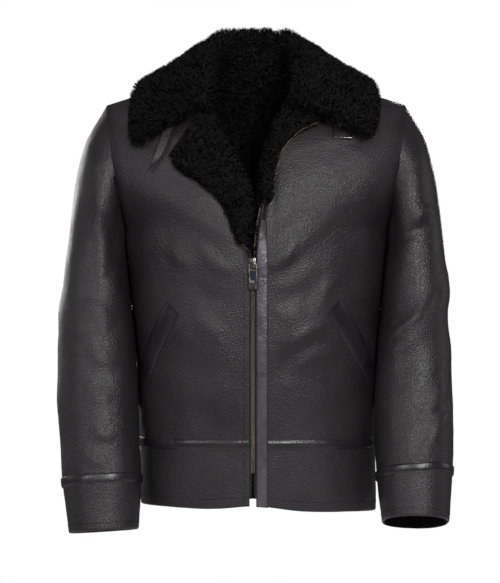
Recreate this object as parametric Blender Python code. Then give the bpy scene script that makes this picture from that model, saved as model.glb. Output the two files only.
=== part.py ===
"""Sheepskin flying jacket in its worn shape, with nobody inside.

It is built as it is cut and sewn: fronts, back, sleeves, hem bands, cuffs, a deep fur
collar, smooth leather tapes over the seams, slanted pocket welts, an open zip, a throat
strap and its buckle. Metres, +Z up. The front looks along -Y and the wearer's left is +X.
The origin lies midway between the two neck points of the shoulder seams.
"""

import math

import bmesh
import bpy
import numpy as np

# Wall thicknesses and clearances
SEAM_GAP = 0.0003
SKIN = 0.006
LAPEL_FLEECE = 0.008
COLLAR_ROOT = 0.006
COLLAR_FUR = 0.017
TAPE = 0.0013
REST_GAP = 0.0004

# Levels of the body, from the hem up
HEM_Z = -0.672
BAND_SEAM_Z = -0.571
BAND_TAPE_HALF = 0.0078
ARMPIT_Z = -0.240
ZIP_SPLIT_Z = -0.292
UPPER_SPAN = 0.220
TOP_V = ARMPIT_Z + UPPER_SPAN

# Shoulder and neck
NECK_POINT = (0.090, 0.008, 0.0)
SHOULDER_RISE = 0.006
BACK_NECK = (0.0, 0.086, -0.014)
ARMHOLE = {
    "x": 0.2205, "x_swing": 0.0155,
    "y": 0.010, "half_depth": 0.088,
    "z": -0.1395, "half_height": 0.0995,
}

# Columns and rows of the panels
NECK_COLUMNS = 5
SHOULDER_COLUMNS = 7
LOWER_LEVELS = (-0.520, -0.476, -0.432, -0.388, -0.344, -0.306, -0.284, -0.262)
UPPER_ROWS = 10
NECK_SHARE = 0.4

# Sections of the body up to the armpit: level, half width, side seam, front, back
BODY_COLUMNS = ("z", "half_width", "side_y", "front_y", "back_y")
BODY_SECTIONS = (
    (-0.690, 0.1815, 0.004, -0.110, 0.108),
    (-0.571, 0.1820, 0.004, -0.118, 0.110),
    (-0.470, 0.1850, 0.003, -0.128, 0.113),
    (-0.360, 0.1900, 0.003, -0.135, 0.118),
    (-0.290, 0.1960, 0.005, -0.137, 0.125),
    (-0.240, 0.2050, 0.010, -0.135, 0.131),
)
BODY_SQUARENESS = 2.5

# Rows from the armpit to the shoulder: armhole angle, then level, depth and fullness at the middle
UPPER_COLUMNS = ("angle", "front_z", "front_y", "front_full", "back_z", "back_y", "back_full")
UPPER_SECTIONS = (
    (45.0, -0.213, -0.132, 0.62, -0.205, 0.136, 0.62),
    (90.0, -0.174, -0.126, 0.80, -0.155, 0.137, 0.80),
    (135.0, -0.124, -0.112, 0.86, -0.105, 0.131, 0.86),
    (160.0, -0.080, -0.097, 0.90, -0.062, 0.114, 0.90),
)
UPPER_SQUARENESS = 2.6

# The two front edges. x is measured from the middle towards each front's own side.
# fold: where the front turns back. edge: where its free edge then lies, and how far it lifts.
FOLD_COLUMNS = ("v", "fold_x", "edge_x", "edge_z", "lift", "folded")
WEARERS_RIGHT = {
    "side": -1,
    "zip_x": 0.005,
    "edge_gap": 0.0051,
    "edge_band": 0.012,
    "edge_columns": 7,
    "neck_end": (0.081, -0.080, -0.042),
    "folds": (
        (-0.268, 0.019, 0.016, -0.268, 0.008, 0.50),
        (-0.240, 0.016, 0.027, -0.241, 0.010, 1.0),
        (-0.185, 0.014, 0.043, -0.204, 0.007, 1.0),
        (-0.130, 0.019, 0.070, -0.176, 0.006, 1.0),
        (-0.075, 0.044, 0.099, -0.154, 0.005, 1.0),
        (-0.0444, 0.066, 0.117, -0.141, 0.004, 1.0),
        (-0.020, 0.081, 0.127, -0.120, 0.004, 1.0),
    ),
}
WEARERS_LEFT = {
    "side": 1,
    "zip_x": -0.005,
    "edge_gap": 0.0051,
    "edge_band": 0.018,
    "edge_columns": 6,
    "neck_end": (0.064, -0.084, -0.036),
    "folds": (
        (-0.268, 0.0165, 0.0015, -0.268, 0.002, 0.20),
        (-0.240, 0.0160, 0.0045, -0.240, 0.006, 0.45),
        (-0.212, 0.0165, 0.0085, -0.217, 0.010, 0.70),
        (-0.185, 0.0175, 0.0130, -0.196, 0.013, 0.88),
        (-0.130, 0.020, 0.024, -0.160, 0.014, 1.0),
        (-0.075, 0.026, 0.041, -0.114, 0.013, 1.0),
        (-0.0444, 0.040, 0.064, -0.089, 0.011, 1.0),
        (-0.020, 0.064, 0.096, -0.074, 0.009, 1.0),
    ),
}
ROLL_BULGE = 0.006

# Sleeves: each row is a ring, by its inner and outer point, its middle and its half depth
SLEEVE_COLUMNS = ("x_in", "z_in", "x_out", "z_out", "y", "half_depth", "tilt")
SLEEVE_RIGHT = (
    (0.2060, -0.2500, 0.2690, -0.1010, 0.004, 0.087, 0.0),
    (0.2080, -0.2620, 0.2860, -0.1750, -0.001, 0.083, 2.0),
    (0.2085, -0.2800, 0.2940, -0.2480, -0.010, 0.077, 5.0),
    (0.2020, -0.3540, 0.3045, -0.3460, -0.026, 0.071, 8.0),
    (0.1910, -0.4300, 0.3090, -0.4270, -0.042, 0.067, 10.0),
    (0.1850, -0.5050, 0.3080, -0.5050, -0.057, 0.064, 11.0),
    (0.1820, -0.5680, 0.3035, -0.5680, -0.070, 0.061, 11.0),
    (0.1790, -0.6240, 0.2980, -0.6320, -0.081, 0.059, 10.0),
    (0.1800, -0.7010, 0.2870, -0.7080, -0.093, 0.056, 8.0),
)
SLEEVE_LEFT = (
    (0.2060, -0.2500, 0.2690, -0.1010, 0.004, 0.087, 0.0),
    (0.2080, -0.2620, 0.2860, -0.1750, -0.001, 0.083, 2.0),
    (0.2085, -0.2800, 0.2940, -0.2480, -0.011, 0.077, 5.0),
    (0.2030, -0.3540, 0.3010, -0.3460, -0.028, 0.072, 9.0),
    (0.1945, -0.4270, 0.3040, -0.4270, -0.045, 0.069, 12.0),
    (0.1895, -0.5050, 0.3040, -0.5050, -0.062, 0.066, 14.0),
    (0.1895, -0.5680, 0.3040, -0.5640, -0.078, 0.064, 15.0),
    (0.1945, -0.6190, 0.3015, -0.6130, -0.092, 0.061, 16.0),
    (0.2000, -0.6880, 0.2940, -0.6900, -0.110, 0.056, 17.0),
)
SLEEVE_ROWS = 25
CUFF_ROWS = 4
CUFF_SEAM_RING = 8.0
CUFF_END_RING = 9.0
CUFF_TAPE_HALF = 0.105
FACING_TOP_ROW = 12

# Collar: at each place round the neck, where it rolls over and where its free edge lies
COLLAR_COLUMNS = ("a", "roll_x", "roll_y", "roll_z", "edge_x", "edge_y", "edge_z", "crown")
COLLAR_STATIONS = (
    (-1.00, -0.084, -0.108, -0.046, -0.184, -0.102, -0.116, 0.006),
    (-0.75, -0.083, -0.058, 0.010, -0.187, -0.069, -0.067, 0.004),
    (-0.52, -0.080, 0.010, 0.044, -0.178, 0.006, -0.014, -0.002),
    (-0.25, -0.060, 0.084, 0.076, -0.112, 0.106, -0.038, 0.003),
    (0.00, 0.000, 0.097, 0.080, 0.000, 0.112, -0.028, 0.003),
    (0.25, 0.060, 0.084, 0.078, 0.112, 0.106, -0.038, 0.003),
    (0.52, 0.074, 0.010, 0.048, 0.178, 0.006, -0.013, -0.002),
    (0.75, 0.077, -0.058, 0.006, 0.181, -0.070, -0.059, 0.004),
    (1.00, 0.070, -0.113, -0.042, 0.178, -0.103, -0.104, 0.006),
)
COLLAR_ROLL = 0.006
COLLAR_PROFILE = 14
COLLAR_GAP = 0.0020
COLLAR_SHORT = 0.008

# Largest folds: a soft ridge or trough between two points, with its width and height
FOLD_LINE_COLUMNS = ("x0", "y0", "z0", "x1", "y1", "z1", "width", "height")
LARGEST_FOLDS = (
    (0.022, -0.140, -0.285, 0.105, -0.130, -0.215, 0.018, 0.0040),
    (0.030, -0.140, -0.420, 0.130, -0.125, -0.350, 0.020, 0.0040),
    (-0.030, -0.140, -0.250, -0.120, -0.125, -0.190, 0.020, 0.0035),
    (-0.040, -0.140, -0.440, -0.130, -0.125, -0.380, 0.022, 0.0030),
    (-0.226, -0.088, -0.150, -0.226, -0.095, -0.330, 0.018, 0.0060),
    (-0.262, -0.080, -0.180, -0.255, -0.105, -0.400, 0.018, -0.0040),
    (-0.300, -0.030, -0.360, -0.235, -0.110, -0.410, 0.018, 0.0050),
    (-0.290, -0.070, -0.500, -0.215, -0.120, -0.540, 0.020, 0.0040),
    (0.235, -0.082, -0.170, 0.222, -0.095, -0.290, 0.017, 0.0060),
    (0.297, -0.050, -0.320, 0.210, -0.110, -0.420, 0.018, 0.0070),
    (0.300, -0.050, -0.375, 0.215, -0.110, -0.470, 0.017, -0.0050),
    (0.290, -0.090, -0.520, 0.235, -0.140, -0.590, 0.020, 0.0045),
    (-0.100, 0.150, -0.290, 0.060, 0.140, -0.340, 0.024, 0.0040),
    (0.120, 0.140, -0.250, 0.000, 0.140, -0.420, 0.024, -0.0035),
    (-0.130, 0.120, -0.480, 0.110, 0.120, -0.510, 0.024, 0.0035),
    (-0.290, 0.060, -0.320, -0.235, 0.050, -0.400, 0.020, 0.0055),
    (0.290, 0.060, -0.310, 0.235, 0.050, -0.400, 0.020, 0.0055),
    (-0.290, 0.040, -0.480, -0.225, 0.020, -0.440, 0.020, 0.0045),
    (0.290, 0.040, -0.470, 0.225, 0.020, -0.430, 0.020, 0.0045),
)

# Pocket welts: each corner by its share of the row from the fold column to the side seam, and its level
POCKET_CORNERS = {
    "right": {
        "top_in": (0.40, -0.370), "top_out": (0.475, -0.352),
        "low_in": (0.76, -0.520), "low_out": (0.85, -0.502),
    },
    "left": {
        "top_in": (0.36, -0.367), "top_out": (0.45, -0.348),
        "low_in": (0.79, -0.516), "low_out": (0.885, -0.498),
    },
}
POCKET_WELT = 0.0022
POCKET_STEPS = 10
POCKET_REST = 0.0009

# Zip: a tape along each front edge with its row of teeth as one bead, a slider and its pull
ZIP_REACH = (0.0, 0.0012, 0.0014, 0.0034)
ZIP_THICK = (0.0012, 0.0012, 0.0028, 0.0028)
ZIP_SINK = 0.0022
ZIP_GAP = 0.0012
SLIDER_AT = (-0.0050, -0.1414, -0.2930)
SLIDER_X = (-0.0048, -0.0015, 0.0015, 0.0048)
SLIDER_Y = (-0.0046, -0.0034, -0.0008, 0.0012)
SLIDER_Z = (-0.0075, -0.0045, -0.0031, 0.0031, 0.0045, 0.0075)
PULL_X = (-0.0065, -0.0045, 0.0045, 0.0065)
PULL_Y = (-0.0029, -0.0013)
PULL_Z = (-0.0395, -0.0265, -0.0120, -0.0100, -0.0027, -0.0011)
INSERT = {"width": 0.0083, "z": (-0.0261, -0.0124), "y": (-0.0027, -0.0015)}

# Throat strap: points down its middle, and its width at each
STRAP_COLUMNS = ("x", "y", "z", "width", "turn")
STRAP_PATH = (
    (-0.130, -0.0967, -0.0685, 0.014, 20.0),
    (-0.132, -0.0985, -0.080, 0.016, 20.0),
    (-0.136, -0.1030, -0.091, 0.016, 20.0),
    (-0.143, -0.1110, -0.112, 0.016, 24.0),
    (-0.152, -0.1160, -0.133, 0.014, 30.0),
    (-0.163, -0.1160, -0.150, 0.008, 36.0),
)
STRAP_THICK = 0.0024

# Buckle: a wire frame hung in a loop of leather under the collar, tipped to lie on the chest
BUCKLE_AT = (0.1325, -0.0940, -0.0800)
BUCKLE_TIP = -27.0
BUCKLE_X = (-0.0150, -0.0128, 0.0128, 0.0150)
BUCKLE_Y = (-0.0011, 0.0011)
BUCKLE_Z = (-0.0240, -0.0218, -0.0011, 0.0011)
CHAPE_HALF_WIDTH = 0.007
CHAPE_THICK = 0.0016
CHAPE_ROOM = 0.0020
CHAPE_LENGTH = 0.016

COLOURS = {
    "nappa": ((0.020, 0.018, 0.019, 1.0), 0.42, 0.0),
    "smooth_leather": ((0.014, 0.012, 0.014, 1.0), 0.25, 0.0),
    "fur": ((0.008, 0.007, 0.008, 1.0), 0.95, 0.0),
    "zip_tape": ((0.012, 0.011, 0.012, 1.0), 0.85, 0.0),
    "gunmetal": ((0.30, 0.27, 0.24, 1.0), 0.32, 1.0),
    "insert": ((0.020, 0.050, 0.075, 1.0), 0.40, 0.0),
}


def smooth_between(keys, rows, at):
    """Rows read at any key, by cubics that pass through every row."""
    keys = np.asarray(keys, float)
    rows = np.asarray(rows, float)
    slopes = np.gradient(rows, keys, axis=0)
    i = int(np.clip(np.searchsorted(keys, at, side="right") - 1, 0, len(keys) - 2))
    step = keys[i + 1] - keys[i]
    t = (at - keys[i]) / step
    return (
        (2 * t**3 - 3 * t**2 + 1) * rows[i]
        + (t**3 - 2 * t**2 + t) * step * slopes[i]
        + (3 * t**2 - 2 * t**3) * rows[i + 1]
        + (t**3 - t**2) * step * slopes[i + 1]
    )


def table(columns, rows, key):
    """A short table as its key column and the rest, ready to be read by name."""
    data = np.array(rows, float)
    k = columns.index(key)
    others = [c for c in columns if c != key]
    values = np.delete(data, k, axis=1)

    def read(at):
        return dict(zip(others, smooth_between(data[:, k], values, at)))

    return read


def lengths(curve):
    steps = np.linalg.norm(np.diff(curve, axis=0), axis=1)
    return np.concatenate([[0.0], np.cumsum(steps)])


def spaced(curve, fractions):
    """Points of a curve at these shares of its length."""
    at = lengths(curve)
    wanted = np.asarray(fractions) * at[-1]
    return np.stack([np.interp(wanted, at, curve[:, i]) for i in range(3)], axis=1)


def bezier(points, t):
    """Points of a Bezier curve of any degree at the shares t."""
    points = np.asarray(points, float)
    t = np.asarray(t, float)[:, None]
    n = len(points) - 1
    return sum(math.comb(n, i) * (1 - t) ** (n - i) * t**i * points[i] for i in range(n + 1))


def unit(vectors):
    size = np.linalg.norm(vectors, axis=-1, keepdims=True)
    return vectors / np.maximum(size, 1e-9)


def armhole_point(angle, face):
    """A point of the armhole seam: angle 0 at the armpit, 180 at the shoulder; face -1 front, 1 back."""
    a = math.radians(angle)
    return np.array(
        [
            ARMHOLE["x"] - ARMHOLE["x_swing"] * math.cos(a),
            ARMHOLE["y"] + face * ARMHOLE["half_depth"] * math.sin(a),
            ARMHOLE["z"] - ARMHOLE["half_height"] * math.cos(a),
        ]
    )


def angle_of(v):
    return 180.0 * (v - ARMPIT_Z) / UPPER_SPAN


def v_of(angle):
    return ARMPIT_Z + UPPER_SPAN * angle / 180.0


def outer_edge(v, face):
    """The side seam up to the armpit, then the armhole seam."""
    if v > ARMPIT_Z:
        return armhole_point(angle_of(v), face)
    row = table(BODY_COLUMNS, BODY_SECTIONS, "z")(v)
    return np.array([row["half_width"], row["side_y"], v])


def half_row(edge, middle_y, middle_z, squareness, fullness):
    """Half a section of the body, from the middle to its outer edge."""
    u = np.sin(np.linspace(0, math.pi / 2, 60))
    y = edge[1] + (middle_y - edge[1]) * (1 - u**squareness) ** fullness
    z = middle_z + (edge[2] - middle_z) * u**2
    return np.stack([edge[0] * u, y, z], axis=1)


def control_rows(face):
    """The sections that shape one half of the front (face -1) or back (face 1), each with its v."""
    name = "front" if face < 0 else "back"
    rows = []
    for values in BODY_SECTIONS:
        row = dict(zip(BODY_COLUMNS, values))
        v = row["z"]
        edge = outer_edge(v, face)
        rows.append((v, half_row(edge, row[name + "_y"], v, BODY_SQUARENESS, 1 / BODY_SQUARENESS)))
    for values in UPPER_SECTIONS:
        row = dict(zip(UPPER_COLUMNS, values))
        edge = armhole_point(row["angle"], face)
        curve = half_row(edge, row[name + "_y"], row[name + "_z"], UPPER_SQUARENESS, row[name + "_full"])
        rows.append((v_of(row["angle"]), curve))
    return rows


def shoulder_seam():
    tip = armhole_point(180.0, 1)
    middle = (np.array(NECK_POINT) + tip) / 2 + (0.0, 0.0, SHOULDER_RISE)
    return bezier([NECK_POINT, middle, tip], np.linspace(0, 1, 12))


def front_neckline(neck_end):
    x, y, z = neck_end
    middle = (0.0, y - 0.012, z - 0.035)
    start = bezier([middle, (0.6 * x, y - 0.010, z - 0.022), neck_end], np.linspace(0, 1, 12))
    bend = (NECK_POINT[0] + 0.004, -0.040, -0.012)
    return start, bezier([neck_end, bend, NECK_POINT], np.linspace(0, 1, 24))


def back_neckline():
    handles = [(0.045, 0.087, -0.019), (0.088, 0.052, -0.008)]
    return bezier([BACK_NECK, *handles, NECK_POINT], np.linspace(0, 1, 24))


def cut_from(curve, x):
    """The part of a half section outwards of x."""
    i = int(np.searchsorted(curve[:, 0], x))
    start = np.array([np.interp(x, curve[:, 0], curve[:, k]) for k in range(3)])
    return np.vstack([start, curve[i:][curve[i:, 0] > x + 1e-6]])


def split_fractions(share):
    """Shares of a row's length: neck columns up to the share, then shoulder columns."""
    inner = np.linspace(0, share, NECK_COLUMNS + 1)
    outer = np.linspace(share, 1, SHOULDER_COLUMNS + 1)
    return np.concatenate([inner, outer[1:]])


def panel_levels():
    """v of each row of a body panel, from the band seam to the shoulder."""
    lower = [BAND_SEAM_Z, BAND_SEAM_Z + BAND_TAPE_HALF, *LOWER_LEVELS]
    upper = v_of(np.linspace(0, 180, UPPER_ROWS + 1))
    return np.concatenate([lower, upper])


def band_levels():
    """v of each row of a hem band, from the hem to the band seam."""
    return np.array([HEM_Z, HEM_Z + 0.013, -0.622, BAND_SEAM_Z - BAND_TAPE_HALF, BAND_SEAM_Z])


def fold_reader(front):
    """Fold column, free edge, lift and fold share of a front at any v."""
    below_fold = front["zip_x"] + front["edge_gap"] + front["edge_band"]
    below_edge = front["zip_x"] + front["edge_gap"]
    levels = (-0.70, -0.50, -0.35, ZIP_SPLIT_Z - 0.006, ZIP_SPLIT_Z)
    flat = [(v, below_fold, below_edge, v, 0.0, 0.0) for v in levels]
    return table(FOLD_COLUMNS, flat + list(front["folds"]), "v")


def top_row(face, front=None):
    """The neckline and shoulder seam, and the share of its length that is neckline."""
    if face > 0:
        neck = back_neckline()
    else:
        neck = front_neckline(front["neck_end"])[1]
    curve = np.vstack([neck, shoulder_seam()[1:]])
    at = lengths(curve)
    return curve, at[len(neck) - 1] / at[-1]


def half_panel(face, levels, front=None):
    """The leather surface of half the body, rows by v and columns from the middle or the fold outwards."""
    folds = fold_reader(front) if front else None
    keys, rows = [], []
    for v, curve in control_rows(face):
        start = folds(v)["fold_x"] if front else 0.0
        keys.append(v)
        rows.append(spaced(cut_from(curve, start), split_fractions(NECK_SHARE)))
    curve, share = top_row(face, front)
    keys.append(TOP_V)
    rows.append(spaced(curve, split_fractions(share)))
    # A row past the shoulder seam, so that the surface rolls over it to the other face.
    other = control_rows(-face)[-1][1]
    beyond = spaced(cut_from(other, 0.02), split_fractions(NECK_SHARE))
    ghost = 2 * rows[-1] - rows[-2]
    ghost[NECK_COLUMNS:] = beyond[NECK_COLUMNS:]
    keys.append(2 * TOP_V - keys[-2])
    rows.append(ghost)
    shares = split_fractions(NECK_SHARE)[:, None]
    grid = []
    for v in levels:
        row = smooth_between(keys, rows, v)
        if v < TOP_V:
            row = row + shares**3 * (outer_edge(v, face) - row[-1])
        grid.append(row)
    return np.array(grid)


def chest_depth(front):
    """Reads the depth of the whole chest at any x and z, also inwards of the fold."""
    keys, rows = [], []
    for v, curve in control_rows(-1):
        keys.append(v)
        rows.append(spaced(curve, np.linspace(0, 1, 40)))
    start, neck = front_neckline(front["neck_end"])
    whole = np.vstack([start, neck[1:], shoulder_seam()[1:]])
    keys.append(TOP_V)
    rows.append(spaced(whole, np.linspace(0, 1, 40)))
    fine = [smooth_between(keys, rows, v) for v in np.linspace(keys[0], TOP_V, 120)]

    def read(x, z):
        zs = [np.interp(abs(x), row[:, 0], row[:, 2]) for row in fine]
        ys = [np.interp(abs(x), row[:, 0], row[:, 1]) for row in fine]
        return float(np.interp(z, zs, ys))

    return read


def front_edge_zone(front, levels, panel):
    """The strip of each row from the fold to the free edge: flat below the slider, turned back above."""
    folds = fold_reader(front)
    depth = chest_depth(front)
    columns = front["edge_columns"]
    zone = []
    for v, row in zip(levels, panel):
        at = folds(min(v, TOP_V))
        base = row[0]
        folded = float(np.clip(at["folded"], 0, 1))
        edge_z = base[2] if folded < 0.01 else at["edge_z"]
        width = math.hypot(base[0] - at["edge_x"], base[2] - edge_z)
        bulge = ROLL_BULGE * min(1.0, folded * 1.5)
        lift = max(at["lift"], 0.0)
        # In each triple: x, z and the lift off the chest.
        flat_1 = np.array([base[0] - width / 3, base[2], 0.0])
        flat_2 = np.array([base[0] - 2 * width / 3, base[2], 0.0])
        roll_1 = np.array([base[0] - bulge, base[2], 0.0])
        roll_2 = np.array([base[0] - bulge, base[2], 1.1 * lift + 0.002])
        ends = [np.array([base[0], base[2], 0.0]), np.array([at["edge_x"], edge_z, lift])]
        handles = [flat_1 + folded * (roll_1 - flat_1), flat_2 + folded * (roll_2 - flat_2)]
        path = bezier([ends[0], *handles, ends[1]], np.linspace(0, 1, 30))
        here = depth(base[0], base[2])
        points = np.array([[x, depth(x, z) - here + base[1] - up, z] for x, z, up in path])
        zone.append(spaced(points, np.linspace(0, 1, columns + 1)))
    return np.array(zone)[:, ::-1]


def shift_hem(grid):
    """Lets the hem follow its real line: a little higher at the zip and lower on the wearer's left."""
    top = BAND_SEAM_Z - BAND_TAPE_HALF
    share = np.clip((top - grid[..., 2]) / (top - HEM_Z), 0, 1)
    front = np.clip(-grid[..., 1] / 0.08, 0, 1)
    x = grid[..., 0]
    grid[..., 2] += share * (-0.028 * x + 0.007 * front * np.exp(-((x / 0.05) ** 2)) - 0.004 * (1 - front))
    return grid


def mirrored(grid, side):
    """A half worked out at +X, placed on its own side."""
    placed = grid.copy()
    placed[..., 0] *= side
    return placed


def front_surfaces(front):
    """(hem band, panel) of one front, columns from the free edge to the side seam or armhole."""
    made = []
    for levels in (band_levels(), panel_levels()):
        panel = half_panel(-1, levels, front)
        zone = front_edge_zone(front, levels, panel)
        made.append(mirrored(np.concatenate([zone[:, :-1], panel], axis=1), front["side"]))
    return shift_hem(made[0]), made[1]


def back_surfaces():
    """(hem band, panel) of the back, columns from -X to +X."""
    made = []
    for levels in (band_levels(), panel_levels()):
        half = half_panel(1, levels)
        made.append(np.concatenate([mirrored(half, -1)[:, :0:-1], half], axis=1))
    return shift_hem(made[0]), made[1]


def armhole_loop():
    """The armhole seam as the panels have it: from the armpit up the front and down the back."""
    angles = np.linspace(0, 180, UPPER_ROWS + 1)
    front = [armhole_point(a, -1) for a in angles]
    back = [armhole_point(a, 1) for a in angles[1:-1]]
    return np.array(front + back[::-1])


def sleeve_ring(values, count):
    """An oval ring of the sleeve, from its inner point round the front."""
    row = dict(zip(SLEEVE_COLUMNS, values))
    inner = np.array([row["x_in"], row["y"], row["z_in"]])
    outer = np.array([row["x_out"], row["y"], row["z_out"]])
    tilt = math.radians(row["tilt"])
    across = (outer - inner) / 2
    along = row["half_depth"] * np.array([0.0, math.cos(tilt), -math.sin(tilt)])
    a = 2 * math.pi * np.arange(count) / count
    full = 2.25
    c = np.sign(np.cos(a)) * np.abs(np.cos(a)) ** (2 / full)
    s = np.sign(np.sin(a)) * np.abs(np.sin(a)) ** (2 / full)
    return (inner + outer) / 2 - np.outer(c, across) - np.outer(s, along)


def sleeve_surface(rows, side, wanted):
    """Rings of a sleeve at these numbers: 0 is the armhole seam and each row of the table is the next."""
    loop = armhole_loop()
    rings = [loop] + [sleeve_ring(values, len(loop)) for values in rows]
    keys = np.arange(len(rings))
    return mirrored(np.array([smooth_between(keys, rings, w) for w in wanted]), side)


def sleeve_levels():
    inner = np.array([0.0, 0.25, 0.6, 1.0, 1.5, 2.0, 2.5])
    outer = np.linspace(3.0, CUFF_SEAM_RING - CUFF_TAPE_HALF, SLEEVE_ROWS - len(inner))
    return np.concatenate([inner, outer, [CUFF_SEAM_RING]])


def cuff_levels():
    first = [CUFF_SEAM_RING, CUFF_SEAM_RING + CUFF_TAPE_HALF]
    return np.array(first + list(np.linspace(first[1], CUFF_END_RING, CUFF_ROWS)[1:]))


def neckline_points(fronts, back):
    """The neckline from the wearer's right front, round the back, to the left front."""
    right, left = fronts
    start_r = WEARERS_RIGHT["edge_columns"]
    start_l = WEARERS_LEFT["edge_columns"]
    middle = back[-1, SHOULDER_COLUMNS:-SHOULDER_COLUMNS]
    first = right[-1, start_r : start_r + NECK_COLUMNS]
    last = left[-1, start_l : start_l + NECK_COLUMNS][::-1]
    line = np.vstack([first, middle, last])
    # The collar stops a little short of where each front turns back.
    line[0] += COLLAR_SHORT * unit(line[1] - line[0])
    line[-1] += COLLAR_SHORT * unit(line[-2] - line[-1])
    return line


def collar_surface(neckline):
    """The collar's leather side: up the stand, over the roll and down to the free edge."""
    at = lengths(neckline)
    places = 2 * at / at[-1] - 1
    read = table(COLLAR_COLUMNS, COLLAR_STATIONS, "a")
    shares = np.linspace(0, 1, COLLAR_PROFILE + 1)
    columns = []
    for a, root in zip(places, neckline):
        row = read(a)
        roll = np.array([row["roll_x"], row["roll_y"], row["roll_z"]])
        edge = np.array([row["edge_x"], row["edge_y"], row["edge_z"]])
        out = unit(np.array([*(edge - roll)[:2], 0.0]))
        down = np.array([0.0, 0.0, -COLLAR_ROLL])
        inside = roll - COLLAR_ROLL * out + down
        outside = roll + COLLAR_ROLL * out + down
        stand = (root + inside) / 2
        fall = edge - outside
        away = unit(np.cross(np.cross(fall, [0.0, 0.0, 1.0]), fall))
        crown = (outside + edge) / 2 + row["crown"] * away
        knots = np.array([root, stand, inside, roll, outside, crown, edge])
        keys = lengths(knots)
        fine = np.array([smooth_between(keys, knots, k) for k in np.linspace(0, keys[-1], 90)])
        columns.append(spaced(fine, shares))
    return np.array(columns).transpose(1, 0, 2)


def add_folds(grid, normals):
    """Moves leather points along their normals by each of the largest folds near them."""
    points = grid.reshape(-1, 3)
    rise = np.zeros(len(points))
    for values in LARGEST_FOLDS:
        row = dict(zip(FOLD_LINE_COLUMNS, values))
        start = np.array([row["x0"], row["y0"], row["z0"]])
        line = np.array([row["x1"], row["y1"], row["z1"]]) - start
        share = np.clip((points - start) @ line / (line @ line), 0, 1)
        away = np.linalg.norm(points - start - share[:, None] * line, axis=1)
        # The line may lie a little off the surface, so only what is past its near zone counts.
        away = np.maximum(away - 0.008, 0)
        along = np.sin(math.pi * (0.12 + 0.76 * share))
        rise += row["height"] * np.exp(-((away / row["width"]) ** 2)) * along
    return grid + rise.reshape(grid.shape[:2])[..., None] * normals


def face_normals(grid, ring):
    """Normals of each cell, and the cell's four corners as flat numbers of points."""
    rows, columns = grid.shape[:2]
    number = np.arange(rows * columns).reshape(rows, columns)
    right = np.roll(number, -1, axis=1)
    if not ring:
        number, right = number[:, :-1], right[:, :-1]
    corners = np.stack([number[:-1], right[:-1], right[1:], number[1:]], axis=-1).reshape(-1, 4)
    p = grid.reshape(-1, 3)[corners]
    return np.cross(p[:, 2] - p[:, 0], p[:, 3] - p[:, 1]), corners


def leather_normals(surfaces):
    """Normals on the leather side of each surface, shared where surfaces meet in a seam."""
    total = {}
    keys = {}
    for name, (grid, facing, ring) in surfaces.items():
        normals, corners = face_normals(grid, ring)
        keys[name] = [tuple(k) for k in np.round(grid.reshape(-1, 3) * 1e5).astype(int)]
        for normal, cell in zip(normals * facing, corners):
            for corner in cell:
                key = keys[name][corner]
                total[key] = total.get(key, 0) + normal
    return {
        name: unit(np.array([total[k] for k in keys[name]])).reshape(grid.shape)
        for name, (grid, facing, ring) in surfaces.items()
    }


def seam_moves(grid, own, shared, edges, ring):
    """How far each point moves so that these edges stop half a seam gap short of the seam."""
    lines = {
        "first_row": (np.s_[0], np.s_[1]),
        "last_row": (np.s_[-1], np.s_[-2]),
        "first_column": (np.s_[:, 0], np.s_[:, 1]),
        "last_column": (np.s_[:, -1], np.s_[:, -2]),
    }
    moves = np.zeros_like(grid)
    for edge in edges:
        line, next_line = lines[edge]
        along = np.gradient(grid[line], axis=0)
        if ring and edge.endswith("row"):
            along = np.roll(grid[line], -1, axis=0) - np.roll(grid[line], 1, axis=0)
        inward = np.cross(along, own[line])
        turned = np.sign(np.sum(inward * (grid[next_line] - grid[line]), axis=1).sum())
        moves[line] += turned * SEAM_GAP / 2 * unit(np.cross(along, shared[line]))
    return moves


def wall_mesh(outer, inner, ring):
    """Points and faces of a closed wall between two grids of the same size."""
    rows, columns = outer.shape[:2]
    number = np.arange(rows * columns).reshape(rows, columns)
    right = np.roll(number, -1, axis=1)
    if not ring:
        number_in, right_in = number[:, :-1], right[:, :-1]
    else:
        number_in, right_in = number, right
    offset = rows * columns
    faces = []
    for a, b, c, d in zip(
        number_in[:-1].ravel(), right_in[:-1].ravel(), right_in[1:].ravel(), number_in[1:].ravel()
    ):
        faces.append((a, b, c, d))
        faces.append((d + offset, c + offset, b + offset, a + offset))
    for line, turned in ((0, True), (-1, False)):
        for a, b in zip(number_in[line], right_in[line]):
            face = (a, b, b + offset, a + offset)
            faces.append(face[::-1] if turned else face)
    if not ring:
        for line, turned in ((0, False), (-1, True)):
            for a, b in zip(number[:-1, line], number[1:, line]):
                face = (a, b, b + offset, a + offset)
                faces.append(face[::-1] if turned else face)
    points = np.concatenate([outer.reshape(-1, 3), inner.reshape(-1, 3)])
    return points, [tuple(int(i) for i in face) for face in faces]


def material(name):
    made = bpy.data.materials.get(name)
    if made:
        return made
    colour, roughness, metallic = COLOURS[name]
    made = bpy.data.materials.new(name)
    made.use_nodes = True
    shader = made.node_tree.nodes["Principled BSDF"]
    shader.inputs["Base Color"].default_value = colour
    shader.inputs["Roughness"].default_value = roughness
    shader.inputs["Metallic"].default_value = metallic
    return made


def new_object(name, points, faces, slot, smooth_below=40):
    """A named object from points and faces, closed and facing out."""
    mesh = bpy.data.meshes.new(name)
    mesh.from_pydata([tuple(map(float, p)) for p in points], [], faces)
    work = bmesh.new()
    work.from_mesh(mesh)
    bmesh.ops.recalc_face_normals(work, faces=work.faces)
    work.to_mesh(mesh)
    work.free()
    mesh.shade_smooth()
    mesh.set_sharp_from_angle(angle=math.radians(smooth_below))
    mesh.materials.append(material(slot))
    made = bpy.data.objects.new(name, mesh)
    bpy.context.scene.collection.objects.link(made)
    return made


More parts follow.
